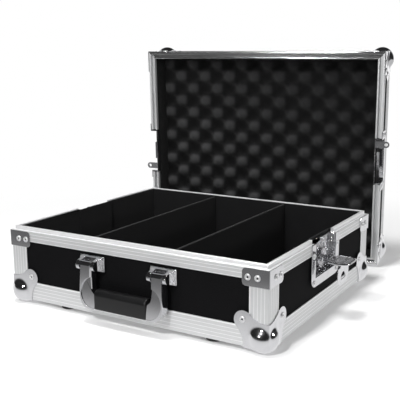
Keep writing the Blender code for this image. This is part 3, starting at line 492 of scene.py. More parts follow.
@dataclass(frozen=True)
class OpenFoam(Finish):
    """Open-celled black foam, with painted light on its bumps and painted shade in the hollows between
    them.

    Attributes:
        valley: Height up to which it stays dark in painted shade, above the pattern's origin.
        crest: Height from which its painted light is brightest.
    """

    valley: float = 1.0
    crest: float = 2.0

    def constants(self) -> dict:
        """Dusty sheen of the cut cells."""
        return {"Sheen Weight": 0.08, "Sheen Roughness": 0.5, "Specular IOR Level": 0.1}

    def surface(self, graph: Graph, place: Wire) -> dict:
        """Pores, and painted light on the bumps, brightest towards the lower left and fading towards the
        upper right.

        Args:
            graph: The material's graph.
            place: Coordinates of the pattern.

        Returns:
            Values and wires by socket name.
        """
        pores = graph.cells(place, 1150.0, "F1").fade(0.1, 0.6)
        wide = graph.noise(place, 35.0, 3.0)
        across, up, rise = place.split()
        # Painted light and shade: bump tops lighter, hollows darker, all fading from the lower left
        # towards the upper right.
        painted_light_falloff = (across * 0.8 + up).fade(0.22, 0.72, 1.25, 0.30)
        rubbed = rise.fade(self.valley, self.crest) * painted_light_falloff
        return {
            "Base Color": self.tone(rubbed * (1.15 - 0.35 * pores - 0.25 * wide), 0.16, 1.0),
            "Roughness": self.roughness - wide * 0.05,
            "Normal": (1.0 - pores).bump(0.0005, 0.75),
        }


@dataclass(frozen=True)
class MouldedPlastic(Finish):
    """Black plastic or rubber with a fine spark-eroded texture.

    Attributes:
        depth: Depth of the texture.
        cells: Its scale, in cells a metre.
    """

    depth: float = 0.00006
    cells: float = 1400.0

    def constants(self) -> dict:
        """Dull gloss."""
        return {"Specular IOR Level": 0.45}

    def surface(self, graph: Graph, place: Wire) -> dict:
        """Fine texture with polished patches.

        Args:
            graph: The material's graph.
            place: Coordinates of the pattern.

        Returns:
            Values and wires by socket name.
        """
        worn = graph.noise(place, 40.0)
        return {
            "Base Color": self.tone(worn, 1.0, 1.5),
            "Roughness": self.roughness + (worn - 0.5) * 0.12,
            "Normal": graph.noise(place, self.cells, 2.0, 0.6).bump(self.depth, 0.8),
        }


CHROME = Chrome("chrome_plate", (0.72, 0.72, 0.74), 0.085, 1.0)
PRESSED = PressedChrome("chrome_pressed", (0.66, 0.66, 0.68), 0.07, 1.0)
CAST = PressedChrome("chrome_cast", (0.72, 0.72, 0.74), 0.07, 1.0, face=1.0, depth=0.0005)
NICKEL = Chrome("rivet_nickel", (0.80, 0.80, 0.81), 0.34, 0.72)
# Nearly black steel: the foot screws' own colour, and on the rivets' cores painted shade of the heads'
# recesses.
DARK_STEEL_AND_SHADE = Chrome("rivet_core", (0.035, 0.035, 0.04), 0.38, 0.9)
LAMINATE = Laminate("laminate_black", (0.0038, 0.0038, 0.0041), 0.55)
FELT = Felt("felt_black", (0.0072, 0.0072, 0.0076), 0.96)
FOAM_EDGE = OpenFoam("foam_edge_black", (0.022, 0.022, 0.023), 0.98)
GRIP_PLASTIC = MouldedPlastic("grip_plastic", (0.0040, 0.0040, 0.0043), 0.31)
RUBBER = MouldedPlastic("foot_rubber", (0.008, 0.008, 0.008), 0.75, depth=0.0001, cells=900.0)


def on_axis(axis: int, along: float, first: float = 0.0, second: float = 0.0) -> Point:
    """Point given by its coordinate on one axis and those on the next two."""
    parts = (along, first, second)
    return parts[-axis:] + parts[:-axis]


def arc(centre: Flat, radius: float, start: float, sweep: float, steps: int) -> list[Flat]:
    """Points along an arc, both ends included, angles in degrees."""
    turns = [math.radians(start + sweep * step / steps) for step in range(steps + 1)]
    return [(centre[0] + radius * math.cos(a), centre[1] + radius * math.sin(a)) for a in turns]


def ridged(start: Flat, end: Flat, marks: Sequence[float], rise: float, half: float) -> list[Flat]:
    """Straight line of a section with small ridges to its left.

    Args:
        start: First point.
        end: Last point.
        marks: Distances of the ridges from the first point.
        rise: Height of a ridge; to the right where negative.
        half: Half of its foot.

    Returns:
        Points from start to end.
    """
    first, last = Vector(start), Vector(end)
    way = (last - first).normalized()
    left = Vector((-way.y, way.x))
    points = [start]
    for mark in marks:
        for shift, height in ((-half, 0.0), (-half * 0.45, rise), (half * 0.45, rise), (half, 0.0)):
            points.append(tuple(first + way * (mark + shift) + left * height))
    return points + [end]


def put(name: str, data: bpy.types.ID) -> bpy.types.Object:
    """Add an object to the scene, at the origin.

    Args:
        name: Its name.
        data: Its data.

    Returns:
        The object.
    """
    made = bpy.data.objects.new(name, data)
    bpy.context.scene.collection.objects.link(made)
    return made


def bake(thing: bpy.types.Object) -> None:
    """Put an object's modifiers into its mesh and take them off.

    Args:
        thing: The object.
    """
    bpy.context.view_layer.update()
    graph = bpy.context.evaluated_depsgraph_get()
    mesh = bpy.data.meshes.new_from_object(thing.evaluated_get(graph), depsgraph=graph)
    thing.modifiers.clear()
    old = thing.data
    thing.data = mesh
    mesh.name = thing.name
    bpy.data.meshes.remove(old)


def modify(thing: bpy.types.Object, kind: str, **settings: object) -> None:
    """Put one modifier's effect into an object's mesh.

    Args:
        thing: The object.
        kind: The modifier's type.
        **settings: The modifier's properties.
    """
    modifier = thing.modifiers.new(kind.lower(), kind)
    for name, value in settings.items():
        setattr(modifier, name, value)
    bake(thing)


@dataclass(frozen=True)
class Edge:
    """How a piece's edges are eased.

    Attributes:
        width: Width of the bevel.
        segments: Its segments.
        angle: Sharpest angle that is left alone, in degrees.
        clamp: Keep bevels from running over each other.
    """

    width: float = 0.0004
    segments: int = 2
    angle: float = 40.0
    clamp: bool = True


def ease(thing: bpy.types.Object, edge: Optional[Edge], smooth: float) -> None:
    """Bevel a piece's edges and shade it smooth, flat faces staying flat.

    Args:
        thing: The piece.
        edge: The bevel, or None.
        smooth: Angle past which an edge stays sharp, in degrees.
    """
    thing.data.shade_smooth()
    thing.data.set_sharp_from_angle(angle=math.radians(smooth))
    if edge:
        sizes = {"width": edge.width, "segments": edge.segments, "use_clamp_overlap": edge.clamp}
        modify(thing, "BEVEL", limit_method="ANGLE", angle_limit=math.radians(edge.angle), **sizes)
        thing.data.shade_smooth()
        thing.data.set_sharp_from_angle(angle=math.radians(smooth))
    modify(thing, "WEIGHTED_NORMAL", keep_sharp=True)


def dress(
    thing: bpy.types.Object, finish: Finish, body: str, slot: Slot, replaces: Sequence[str] = ()
) -> bpy.types.Object:
    """Give a piece its finish, its body and what it stands for, and report it.

    Args:
        thing: The piece.
        finish: Its finish, unless it has its materials already.
        body: CAD body that it moves with.
        slot: Not used.
        replaces: CAD nodes that it stands for.

    Returns:
        The piece.
    """
    if not thing.data.materials:
        thing.data.materials.append(finish.material())
    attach(thing, body)
    if replaces:
        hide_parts(*replaces)
    LOG.info("%s: %d faces, rides on %s", thing.name, len(thing.data.polygons), body)
    return thing


class Form:
    """Closed shells in the making, in the coordinates of what carries them."""

    def __init__(self, shape: Optional[bmesh.types.BMesh] = None) -> None:
        """Start from a shape, or empty."""
        self.shape = bmesh.new() if shape is None else shape

    def skin(self, rows: Sequence[Row], ring: bool = False, finishes: Sequence[int] = ()) -> "Form":
        """Join rows of equally many points into one closed shell.

        Args:
            rows: The rows, each a closed loop of points.
            ring: Join the last row to the first instead of capping both.
            finishes: Number of the finish of each strip between two rows.

        Returns:
            The form.
        """
        verts = [[self.shape.verts.new(point) for point in row] for row in rows]
        pairs = list(zip(verts, verts[1:])) + ([(verts[-1], verts[0])] if ring else [])
        for strip, (first, second) in enumerate(pairs):
            for here in range(len(first)):
                after = (here + 1) % len(first)
                made = self.shape.faces.new((first[here], first[after], second[after], second[here]))
                made.material_index = finishes[strip] if finishes else 0
        if not ring:
            self.shape.faces.new(verts[0][::-1])
            self.shape.faces.new(verts[-1])
        return self

    def tube(self, line: Sequence[Point], radius: float, around: int = 8) -> "Form":
        """Round bar along a line of points.

        Args:
            line: Points that it follows.
            radius: Its radius.
            around: Points in its section.

        Returns:
            The form.
        """
        points = [Vector(point) for point in line]
        section = arc((0.0, 0.0), radius, 0.0, 360.0, around)[:-1]
        rows = []
        normal = (points[1] - points[0]).orthogonal()
        for here, point in enumerate(points):
            way = (points[min(here + 1, len(points) - 1)] - points[max(here - 1, 0)]).normalized()
            normal = (normal - way * normal.dot(way)).normalized()
            other = way.cross(normal)
            rows.append([tuple(point + normal * a + other * b) for a, b in section])
        return self.skin(rows)

    def turned(self, section: Sequence[Flat], centre: Point, axis: int, steps: int) -> "Form":
        """Ring turned about an axis.

        Args:
            section: Closed section of (radius, level).
            centre: Point that the axis goes through and the levels start from.
            axis: Number of the axis.
            steps: Sections round it.

        Returns:
            The form.
        """
        base, one, two = (centre[(axis + shift) % 3] for shift in range(3))
        ways = arc((0.0, 0.0), 1.0, 0.0, 360.0, steps)[:-1]
        rows = [[on_axis(axis, base + up, one + r * a, two + r * b) for r, up in section] for a, b in ways]
        return self.skin(rows, ring=True)

    def outward(self) -> "Form":
        """Turn every face outwards."""
        bmesh.ops.recalc_face_normals(self.shape, faces=self.shape.faces)
        return self

    def settle(self, name: str, place: Matrix) -> bpy.types.Object:
        """Make the mesh object, its place in its mesh.

        Args:
            name: Name of the piece.
            place: The form's coordinates to the row frame.

        Returns:
            The object, at the origin.
        """
        bmesh.ops.transform(self.shape, matrix=place, verts=self.shape.verts)
        if place.determinant() < 0.0:
            bmesh.ops.reverse_faces(self.shape, faces=self.shape.faces)
        mesh = bpy.data.meshes.new(name)
        self.shape.to_mesh(mesh)
        self.shape.free()
        return put(name, mesh)

    def piece(
        self, name: str, place: Matrix, smooth: float, edge: Optional[Edge] = None
    ) -> bpy.types.Object:
        """Settle the form with its faces outwards and its edges eased.

        Args:
            name: Name of the piece.
            place: The form's coordinates to the row frame.
            smooth: Angle past which an edge stays sharp, in degrees.
            edge: Its bevel.

        Returns:
            The piece.
        """
        thing = self.outward().settle(name, place)
        ease(thing, edge, smooth)
        return thing


def refined(
    node: str, name: str, edge: Edge, smooth: float = 42.0, cut: Optional[Carving] = None
) -> bpy.types.Object:
    """Copy of a CAD node with merged points, whole faces and eased edges.

    Args:
        node: The CAD node.
        name: Name of the new piece.
        edge: Its bevel.
        smooth: Angle past which an edge stays sharp, in degrees.
        cut: Carving of the whole faces before the edges are eased.

    Returns:
        The new piece.
    """
    shape = bmesh.new()
    shape.from_mesh(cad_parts[node].data)
    bmesh.ops.remove_doubles(shape, verts=shape.verts, dist=0.000005)
    flat = math.radians(0.6)
    bmesh.ops.dissolve_limit(shape, angle_limit=flat, verts=shape.verts, edges=shape.edges, delimit=set())
    if cut:
        cut(shape)
    return Form(shape).piece(name, Matrix.Identity(4), smooth, edge)


@dataclass(frozen=True)
class Half:
    """One half of the case.

    Attributes:
        name: Name of its CAD body and start of its nodes' names.
        place: Half coordinates to the row frame.
        height: Closed outer face to the rim shoulder.
        bracket_drop: How far the rim brackets sit below the shoulder.
        bracket_height: Height of the rim brackets.
        ends: Its nodes' words for the two ends.
        turn: Euler angles of its place.
        width: Left outer face to right.
        depth: Front outer face to back.
        wall_inset: The panels' outer faces from the case's.
        crest: Rise past the outer face from which a rib gets the lighter crest metal, a painted highlight.
    """

    name: str
    place: Matrix
    height: float
    bracket_drop: float
    bracket_height: float
    ends: tuple[str, str]
    turn: Point = (0.0, 0.0, 0.0)
    width: float = 0.470
    depth: float = 0.400
    wall_inset: float = 0.0018
    crest: float = 0.0002

    @classmethod
    def base(cls) -> "Half":
        """The base tray, placed by its bottom panel."""
        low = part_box("base_bottom_panel")[0] - Vector((cls.wall_inset,) * 3)
        return cls("base", Matrix.Translation(low), 0.1155, 0.0004, 0.0258, ("front", "back"))

    @classmethod
    def lid(cls) -> "Half":
        """The lid, leaning 1.9 degrees and turned 9.5, placed by its shell.

        Returns:
            The half.
        """
        turn = Euler((math.radians(91.9), 0.0, math.radians(9.5)))
        matrix = turn.to_matrix()
        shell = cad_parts["lid_shell"].data.vertices
        points = np.array([vert.co for vert in shell]) @ np.array(matrix)
        low = Vector(points.min(0)) - Vector((cls.wall_inset,) * 3)
        place = Matrix.Translation(matrix @ low) @ matrix.to_4x4()
        return cls("lid", place, 0.074, 0.0006, 0.020, ("lower", "upper"), tuple(turn))

    def corner(self, side: Side, end: End) -> Matrix:
        """Corner coordinates (in from the side, in from the end, up) to the row frame.

        Args:
            side: The corner's side.
            end: Its end.

        Returns:
            The matrix, which mirrors where the corner does.
        """
        flip_x, flip_y = side is Side.RIGHT, end is End.BACK
        spot = Matrix.Translation((self.width * flip_x, self.depth * flip_y, 0.0))
        return self.place @ spot @ Matrix.Diagonal((1.0 - 2.0 * flip_x, 1.0 - 2.0 * flip_y, 1.0, 1.0))

    def flank(self, side: Side) -> Matrix:
        """Side coordinates (out of the side face, along it, up) to the row frame.

        Args:
            side: The side.

        Returns:
            The matrix.
        """
        if side is Side.RIGHT:
            return self.place @ Matrix.Translation((self.width, 0.0, 0.0))
        turn = Matrix.Diagonal((-1.0, -1.0, 1.0, 1.0))
        return self.place @ Matrix.Translation((0.0, self.depth, 0.0)) @ turn

    def corners(self) -> Iterable[tuple[str, Matrix]]:
        """Last words of the nodes' names and coordinates at each corner."""
        for end, side in product(End, Side):
            yield "%s_%s" % (self.ends[end.value], side.value), self.corner(side, end)

    def aluminium(self, grain: Grain, rubbed: bool = False) -> Finish:
        """Aluminium with drawing lines that run along this half's profiles.

        Args:
            grain: Direction of the lines.
            rubbed: Whether it is the crests' metal, less rough and lighter, the lighter colour a painted
                highlight.

        Returns:
            The finish.
        """
        name = "aluminium_%s_%s" % (self.name, grain.name.lower())
        # The lid's across-running legs get a polished copy of the aluminium: lower roughness and more
        # metal are real, its darker colour is painted shade.
        if self.name == "lid" and grain is Grain.ACROSS:
            values = (name, (0.52, 0.525, 0.53), 0.17, 0.96)
            return DrawnAluminium(*values, self.turn, grain=grain, depth=0.00003)
        values = (name, (0.62, 0.625, 0.63), 0.42, 0.55)
        # Crest metal: less rough, and much lighter as a painted highlight.
        if rubbed:
            values = (name + "_rubbed", (0.86, 0.86, 0.87), 0.34, 0.50)
        return DrawnAluminium(*values, self.turn, grain=grain)

    def profile(
        self, form: Form, grains: Sequence[Grain], under: Depth, name: str, place: Matrix
    ) -> bpy.types.Object:
        """Settle a profile's form, the crests of its ribs given less rough, lighter metal as a painted
        highlight.

        Args:
            form: The form; its faces' finishes count through the grains.
            grains: Directions of the drawing lines.
            under: Depth of a point under the nearest outer face.
            name: Name of the piece.
            place: The form's coordinates to the row frame.

        Returns:
            The piece.
        """
        # Faces standing out past the crest get the lighter crest metal: painted highlight.
        for face in form.shape.faces:
            if under(face.calc_center_median()) < -self.crest:
                face.material_index += len(grains)
        thing = form.outward().settle(name, place)
        for rubbed in (False, True):
            for grain in grains:
                thing.data.materials.append(self.aluminium(grain, rubbed).material())
        ease(thing, None, 50.0)
        return thing


@dataclass
class EdgeAngles:
    """Ribbed aluminium angles along the closed face's edges and up the corners.

    Attributes:
        half: The half that carries them.
        leg: Width of each leg.
        sheet: Thickness.
        bend: Radius of the outer corner.
        snip: Distance from the case's corner to the front and back runs.
        rim_face: Height of the rim that the corner runs end at.
        marks: Distances of the ribs from the corner.
        rib_half: Half of a rib's foot.
    """

    half: Half
    leg: float = 0.0308
    sheet: float = 0.0015
    bend: float = 0.0014
    snip: float = 0.010
    rim_face: float = 0.017
    marks: tuple[float, ...] = (0.0065, 0.0120, 0.0175, 0.0230)
    rib_half: float = 0.0008

    def section(self) -> list[Flat]:
        """Outline of the angle, the outer faces on the two axes.

        Returns:
            Points of the closed outline.
        """
        leg, sheet, bend = self.leg, self.sheet, self.bend
        marks = [mark - bend for mark in self.marks]
        one = ridged((bend, 0.0), (leg - 0.0028, 0.0), marks, -RIB, self.rib_half)
        one += [(leg - 0.0024, -RIB), (leg - 0.0008, -RIB), (leg - 0.0002, 0.0002), (leg, 0.0007)]
        one += [(leg - 0.0002, 0.0012), (leg - 0.0006, sheet), (sheet + 0.0004, sheet)]
        return one + [(b, a) for a, b in reversed(one)] + arc((bend, bend), bend, 180.0, 90.0, 5)[1:-1]

    def runs(self) -> Iterable[tuple[str, str, Matrix, float, float, int]]:
        """Every run.

        Returns:
            Ends of the piece's and the node's names, place, start, end and axis of each.
        """
        half = self.half
        start, top = self.leg + FIT, half.height - self.rim_face - FIT
        for end in End:
            word, place = half.ends[end.value], half.corner(Side.LEFT, end)
            yield word + "_angle", word + "_edge_angle", place, self.snip, half.width - self.snip, 0
        for side in Side:
            word, place = side.value, half.corner(side, End.FRONT)
            yield word + "_angle", word + "_edge_angle", place, start, half.depth - start, 1
        for words, place in half.corners():
            word = "corner_angle_" + words
            yield word + "_run", word, place, start, top, 2

    def build(self) -> None:
        """Build and dress every run."""
        half = self.half
        for name, node, place, low, high, axis in self.runs():
            rows = [[on_axis(axis, level, *spot) for spot in self.section()] for level in (low, high)]
            grain = tuple(Grain)[axis]

            def under(point: Vector) -> float:
                """Depth under the two outer faces along the run."""
                return min(point[(axis + 1) % 3], point[(axis + 2) % 3])

            name = "%s_%s" % (half.name, name)
            thing = half.profile(Form().skin(rows), [grain], under, name, place)
            node = "base_" + node if half.name == "base" else "lid_edge_frame"
            dress(thing, half.aluminium(grain), half.name, Slot.ALUMINIUM, [node])


@dataclass
class Rim:
    """Ribbed rim profile round the open side of a half, parted at the latches.

    Attributes:
        half: The half that carries it.
        width: Outer face to the inner leg's far face.
        face: Height of the outer face.
        sheet: Thickness of the outer leg.
        inner_sheet: Thickness of the inner leg.
        gap: Length left open at each latch.
        tongue: Rise of the base's tongue above the shoulder.
        rub: How far below the base's shoulder the lighter crest metal starts, painted light on the
            tongue's top.
    """

    half: Half
    width: float = 0.0092
    face: float = 0.017
    sheet: float = 0.0015
    inner_sheet: float = 0.0016
    gap: float = 0.088
    tongue: float = 0.006
    rub: float = 0.0003

    def outer(self) -> list[Flat]:
        """Outer face from its lower lip up to the shoulder, as (in, up).

        Returns:
            Points of the section.
        """
        top = self.half.height
        low = top - self.face
        line = [(0.0012, 0.0), (0.0006, 0.0), (0.0001, 0.0003)]
        line += [(-RIB, 0.0009), (-RIB, 0.0017), (0.0, 0.0024)]
        for foot in (0.0066, 0.0116):
            line += [(0.0, foot), (-RIB, foot + 0.0004), (-RIB, foot + 0.0012), (0.0, foot + 0.0016)]
        shoulder = [(0.0, top - 0.0008), (0.00024, top - 0.00024), (0.0008, top)]
        return [(inn, low + up) for inn, up in line] + shoulder

    def base_section(self) -> list[Flat]:
        """Base rim with its raised tongue.

        Returns:
            Points of the closed outline.
        """
        top, inn = self.half.height, self.width
        low, crest, near = top - self.face, top + self.tongue, inn - 0.0046
        upper = [(near - 0.0004, top), (near, top + 0.0004), (near, crest - 0.0009)]
        upper += [(near + 0.0003, crest - 0.0003), (near + 0.0009, crest), (near + 0.0017, crest)]
        upper += [(near + 0.0020, crest - 0.0003), (near + 0.0026, crest - 0.0003), (near + 0.0029, crest)]
        upper += [(inn - 0.0009, crest), (inn - 0.0003, crest - 0.0003), (inn, crest - 0.0009), (inn, low)]
        back, web = inn - self.inner_sheet, top - 0.004
        return self.outer() + upper + [(back, low), (back, web), (self.sheet, web), (self.sheet, low)]

    def lid_section(self) -> list[Flat]:
        """Lid rim with the groove that takes the tongue.

        Returns:
            Points of the closed outline.
        """
        top, inn = self.half.height, self.width
        low, near, far = top - self.face, inn - 0.0049, inn + 0.0003
        floor, web, lip = top - 0.0065, top - 0.008, 0.0125
        upper = [(near - 0.0005, top), (near, top - 0.0005), (near, floor), (far, floor)]
        upper += [(far, top - 0.0005), (far + 0.0005, top), (lip - 0.0012, top)]
        upper += [(lip - 0.0004, top - 0.0004), (lip, top - 0.0012), (lip, web), (inn, web), (inn, low)]
        back = inn - self.inner_sheet
        return self.outer() + upper + [(back, low), (back, web), (self.sheet, web), (self.sheet, low)]

    def build(self) -> None:
        """Build and dress both U-shaped runs."""
        half = self.half
        is_base = half.name == "base"
        section = self.base_section() if is_base else self.lid_section()
        names = ("front", "rear") if is_base else half.ends
        near, wide = (half.depth - self.gap) / 2.0, half.width
        stations = [(0.0, near, 1, 0), (0.0, 0.0, 1, 1), (wide, 0.0, -1, 1), (wide, near, -1, 0)]
        # On the base, faces above this level, its tongue's top, get the lighter crest metal: painted
        # light.
        rubbed = half.height - self.rub if is_base else math.inf

        def under(point: Vector) -> float:
            """Depth under the nearest outer face, or below the base's shoulder, above which the metal is
            painted lighter.
            """
            return min(point.x, wide - point.x, point.y, rubbed - point.z)

        for end in End:
            rows = [[(x + n * dx, y + n * dy, z) for n, z in section] for x, y, dx, dy in stations]
            form = Form().skin(rows, False, (1, 0, 1))
            node = "%s_rim_%s" % (half.name, names[end.value])
            place = half.corner(Side.LEFT, end)
            thing = half.profile(form, (Grain.ACROSS, Grain.ALONG), under, node + "_profile", place)
            dress(thing, half.aluminium(Grain.ACROSS), half.name, Slot.ALUMINIUM, [node])


@dataclass
class Rivets:
    """Rivet heads of one body: a rolled ring round a core, the core's dark colour painted shade of the
    head's recess.

    Attributes:
        body: CAD body that carries them.
        head: Radius of the head.
        roll: Radius of the rolled ring's section.
        core: Radius of the core.
        flatness: Height of the core, as a share of its radius.
        spots: Place and aim of each.
    """

    body: str
    head: float = 0.0047
    roll: float = 0.0016
    core: float = 0.0016
    flatness: float = 0.45
    spots: list[tuple[Vector, Vector]] = field(default_factory=list)

    def mark(self, place: Matrix, spot: Point, aim: Point) -> None:
        """Keep the place of one rivet and the way that its head points."""
        self.spots.append((place @ Vector(spot), (place.to_3x3() @ Vector(aim)).normalized()))

    def pair(self, half: Half, side: Side, apart: float, level: float) -> None:
        """Mark two rivets on a side face, as far from its middle either way."""
        for along in (-apart, apart):
            self.mark(half.flank(side), (RIVET_SEAT, half.depth / 2.0 + along, level), (1.0, 0.0, 0.0))

    def stamp(self, thing: bpy.types.Object) -> None:
        """Put a head on every point of an object.

        Args:
            thing: The object, each point with an aim.
        """
        wanted = {"Head radius": self.head, "Roll radius": self.roll, "Core radius": self.core}
        # The core's nearly black finish is painted shade, standing in for the recess in the head.
        wanted |= {"Ring finish": NICKEL.material(), "Core finish": DARK_STEEL_AND_SHADE.material()}
        group = Group("rivet_heads_" + self.body, wanted)
        head, roll, core, bright, dark = (group.given[name] for name in wanted)
        circle = "GeometryNodeCurvePrimitiveCircle"
        path = group.node(circle, {}, {"Resolution": 18, "Radius": head - roll})
        section = group.node(circle, {}, {"Resolution": 8, "Radius": roll})
        ring = group.node("GeometryNodeCurveToMesh", {}, {"Curve": path, "Profile Curve": section})
        ball = group.node("GeometryNodeMeshUVSphere", {}, {"Segments": 12, "Rings": 6, "Radius": core})
        flat = {"Geometry": ball, "Scale": (1.0, 1.0, self.flatness)}
        button = group.node("GeometryNodeTransform", {}, flat)
        settings = {"data_type": "BOOLEAN", "domain": "FACE"}
        values = {"Geometry": button, "Name": "core", "Value": True}
        marked = group.node("GeometryNodeStoreNamedAttribute", settings, values)
        both = group.node("GeometryNodeJoinGeometry", {}, {0: [ring, marked]})
        named = "GeometryNodeInputNamedAttribute"
        aim = group.node(named, {"data_type": "FLOAT_VECTOR"}, {"Name": "aim"}, "Attribute")
        turn = group.node("FunctionNodeAlignRotationToVector", {"axis": "Z"}, {"Vector": aim})
        points = {"Points": group.given["Geometry"], "Instance": both, "Rotation": turn}
        heads = group.node("GeometryNodeInstanceOnPoints", {}, points)
        is_core = group.node(named, {"data_type": "BOOLEAN"}, {"Name": "core"}, "Attribute")
        values = {"Geometry": group.realize(heads, bright), "Selection": is_core, "Material": dark}
        group.grow(thing, group.node("GeometryNodeSetMaterial", {}, values))

    def build(self) -> None:
        """Build and dress the heads of this body."""
        name = self.body + "_rivets"
        mesh = bpy.data.meshes.new(name)
        mesh.from_pydata([tuple(spot) for spot, aim in self.spots], [], [])
        aims = mesh.attributes.new("aim", "FLOAT_VECTOR", "POINT")
        for here, (spot, aim) in enumerate(self.spots):
            aims.data[here].vector = aim
        thing = put(name, mesh)
        self.stamp(thing)
        for mark in ("aim", "core"):
            if mark in thing.data.attributes:
                thing.data.attributes.remove(thing.data.attributes[mark])
        thing.data.shade_smooth()
        dress(thing, NICKEL, self.body, Slot.CHROME)


@dataclass
class BallCorner:
    """Pressed three-way corner plate with a ball.

    Attributes:
        half: The half that carries it.
        radius: Radius of the ball.
        inset: Its centre from each outer face.
        outside: Outer face of the plates from the outer face of the case.
        sheet: Thickness of the plate.
        reach: How far the plate runs along each edge.
        lobe: Centre of each lobe from the corner.
        lobe_radius: Its radius.
        lobe_start: Angle at which its arc starts, in degrees.
        rivet: The rivets from the corner.
        fillet: Softness of the bend between plate and ball.
        core: Farthest that the folded corner is taken from the ball's centre.
        fold: Radius of the folds.
        step: Size of the net.
    """

    half: Half
    radius: float = 0.022
    inset: float = 0.0135
    outside: float = 0.0015
    sheet: float = 0.0012
    reach: float = 0.038
    lobe: float = 0.0385
    lobe_radius: float = 0.0146
    lobe_start: float = -36.0
    rivet: float = 0.040
    fillet: float = 0.0042
    core: float = 0.0212
    fold: float = 0.0022
    step: float = 0.0016

    def outline(self) -> list[Flat]:
        """Free outline of one plate, from one folded edge to the other.

        Returns:
            Points of the outline.
        """
        start = self.lobe_start
        bow = arc((self.lobe, self.lobe), self.lobe_radius, start, 90.0 - 2.0 * start, 22)
        wide, low = bow[0]
        reach, inset = self.reach, self.inset
        shoulder, level = self.lobe + 0.003, inset * 1.25
        side = [(reach, 0.0), (reach + 0.0003, inset * 0.3), (reach + 0.0006, inset * 0.6)]
        side += [(reach + 0.0018, inset * 0.95), (shoulder, level)]
        side += [((shoulder + wide) / 2.0 - 0.0008, (level + low) / 2.0 + 0.0006)]
        return side + bow + [(b, a) for a, b in reversed(side)]

    def press(self, point: Vector) -> Vector:
        """Place of a flat plate's point after pressing: folds rounded, ball pushed out.

        Args:
            point: Point on the sharp folded box.

        Returns:
            The point on the pressed surface.
        """
        soft = -self.outside + self.fold
        held = Vector([max(part, soft) for part in point])
        away = point - held
        if away.length > self.fold * 1.0001:
            point = held + away.normalized() * self.fold
        centre = Vector((self.inset,) * 3)
        ray = point - centre
        far = ray.length
        if max(point) < self.inset:
            far = min(far, self.core)
        blend = max(self.fillet - abs(far - self.radius), 0.0)
        grown = max(far, self.radius) + blend * blend / (4.0 * self.fillet)
        return centre + ray.normalized() * grown

    def net(self) -> bmesh.types.BMesh:
        """The three plates, folded sharp and cut into a fine net.

        Returns:
            The net, in corner coordinates.
        """
        shape = bmesh.new()
        level = -self.outside
        flat = [(level, level), (self.reach, level)] + self.outline() + [(level, self.reach)]
        for axis in range(3):
            shape.faces.new([shape.verts.new(on_axis(axis, level, *spot)) for spot in flat])
        bmesh.ops.remove_doubles(shape, verts=shape.verts, dist=0.000001)
        for axis in range(3):
            way = Vector(on_axis(axis, 1.0))
            level = -self.outside
            while level < self.lobe + self.lobe_radius:
                level += self.step / 3.0 if level < -self.outside + self.fold else self.step
                parts = shape.verts[:] + shape.edges[:] + shape.faces[:]
                bmesh.ops.bisect_plane(shape, geom=parts, dist=1e-7, plane_co=way * level, plane_no=way)
        bmesh.ops.remove_doubles(shape, verts=shape.verts, dist=0.00005)
        return shape

    def pressed(self) -> bpy.types.Object:
        """The pressed plate, whose shape the four corners share.

        Returns:
            A loose object in corner coordinates.
        """
        form = Form(self.net()).outward()
        for vert in form.shape.verts:
            vert.co = self.press(vert.co)
        for face in form.shape.faces:
            face.smooth = True
        thing = form.settle("pressed", Matrix.Identity(4))
        modify(thing, "SOLIDIFY", thickness=self.sheet, offset=-1.0)
        return thing

    def build(self, rivets: Rivets) -> None:
        """Build and dress the four corners, and mark their rivets.

        Args:
            rivets: What the rivets' places go to.
        """
        master = self.pressed()
        for words, place in self.half.corners():
            form = Form()
            form.shape.from_mesh(master.data)
            node = "%s_ball_corner_%s" % (self.half.name, words)
            thing = form.settle(node + "_pressing", place)
            ease(thing, Edge(0.0003, 2, 60.0), 60.0)
            dress(thing, CHROME, self.half.name, Slot.CHROME, [node])
            for axis in range(3):
                spot = on_axis(axis, -self.outside, self.rivet, self.rivet)
                rivets.mark(place, spot, on_axis(axis, -1.0))
        bpy.data.objects.remove(master, do_unlink=True)


@dataclass
class RimBracket:
    """Plate bent round a rim corner, held by two rivets a leg.

    Attributes:
        half: The half that carries it.
        leg: Reach of each leg from the corner.
        sheet: Its thickness.
        end_share: Radius of its free ends' corners, as a share of its height.
        steps: Steps in each round stretch.
        spots: Distances of the rivets from the corner.
    """

    half: Half
    leg: float = 0.041
    sheet: float = 0.0015
    end_share: float = 0.25
    steps: int = 8
    spots: tuple[float, ...] = (0.017, 0.032)

    def rows(self) -> list[Row]:
        """Sections round the bend, in corner coordinates.

        Returns:
            The rows of the skin.
        """
        high = self.half.height - self.half.bracket_drop
        low = high - self.half.bracket_height
        radius = self.end_share * self.half.bracket_height
        inner, outer = -FIT, -(FIT + self.sheet)
        bend = [(b, a) for a, b in arc((0.0, 0.0), 1.0, 0.0, 90.0, self.steps)]
        ends = [(self.leg - radius * (1.0 - sine), radius * (1.0 - cosine)) for sine, cosine in bend]

        def row(out: Flat, inn: Flat, trim: float = 0.0) -> Row:
            """One section across the sheet."""
            return [(*out, low + trim), (*out, high - trim), (*inn, high - trim), (*inn, low + trim)]

        rows = [row((reach, outer), (reach, inner), trim) for reach, trim in reversed(ends)]
        rows += [row((outer * a, outer * b), (inner * a, inner * b)) for a, b in bend]
        return rows + [row((outer, reach), (inner, reach), trim) for reach, trim in ends]

    def build(self, rivets: Rivets) -> None:
        """Build and dress the four brackets, and mark their rivets.

        Args:
            rivets: What the rivets' places go to.
        """
        half = self.half
        level = half.height - half.bracket_drop - half.bracket_height / 2.0
        outer, edge = -(FIT + self.sheet), Edge(0.00035, 2, 50.0, False)
        for words, place in half.corners():
            node = "%s_rim_bracket_%s" % (half.name, words)
            thing = Form().skin(self.rows()).piece(node + "_plate", place, 42.0, edge)
            dress(thing, CHROME, half.name, Slot.CHROME, [node])
            for spot in self.spots:
                rivets.mark(place, (spot, outer, level), (0.0, -1.0, 0.0))
                rivets.mark(place, (outer, spot, level), (-1.0, 0.0, 0.0))


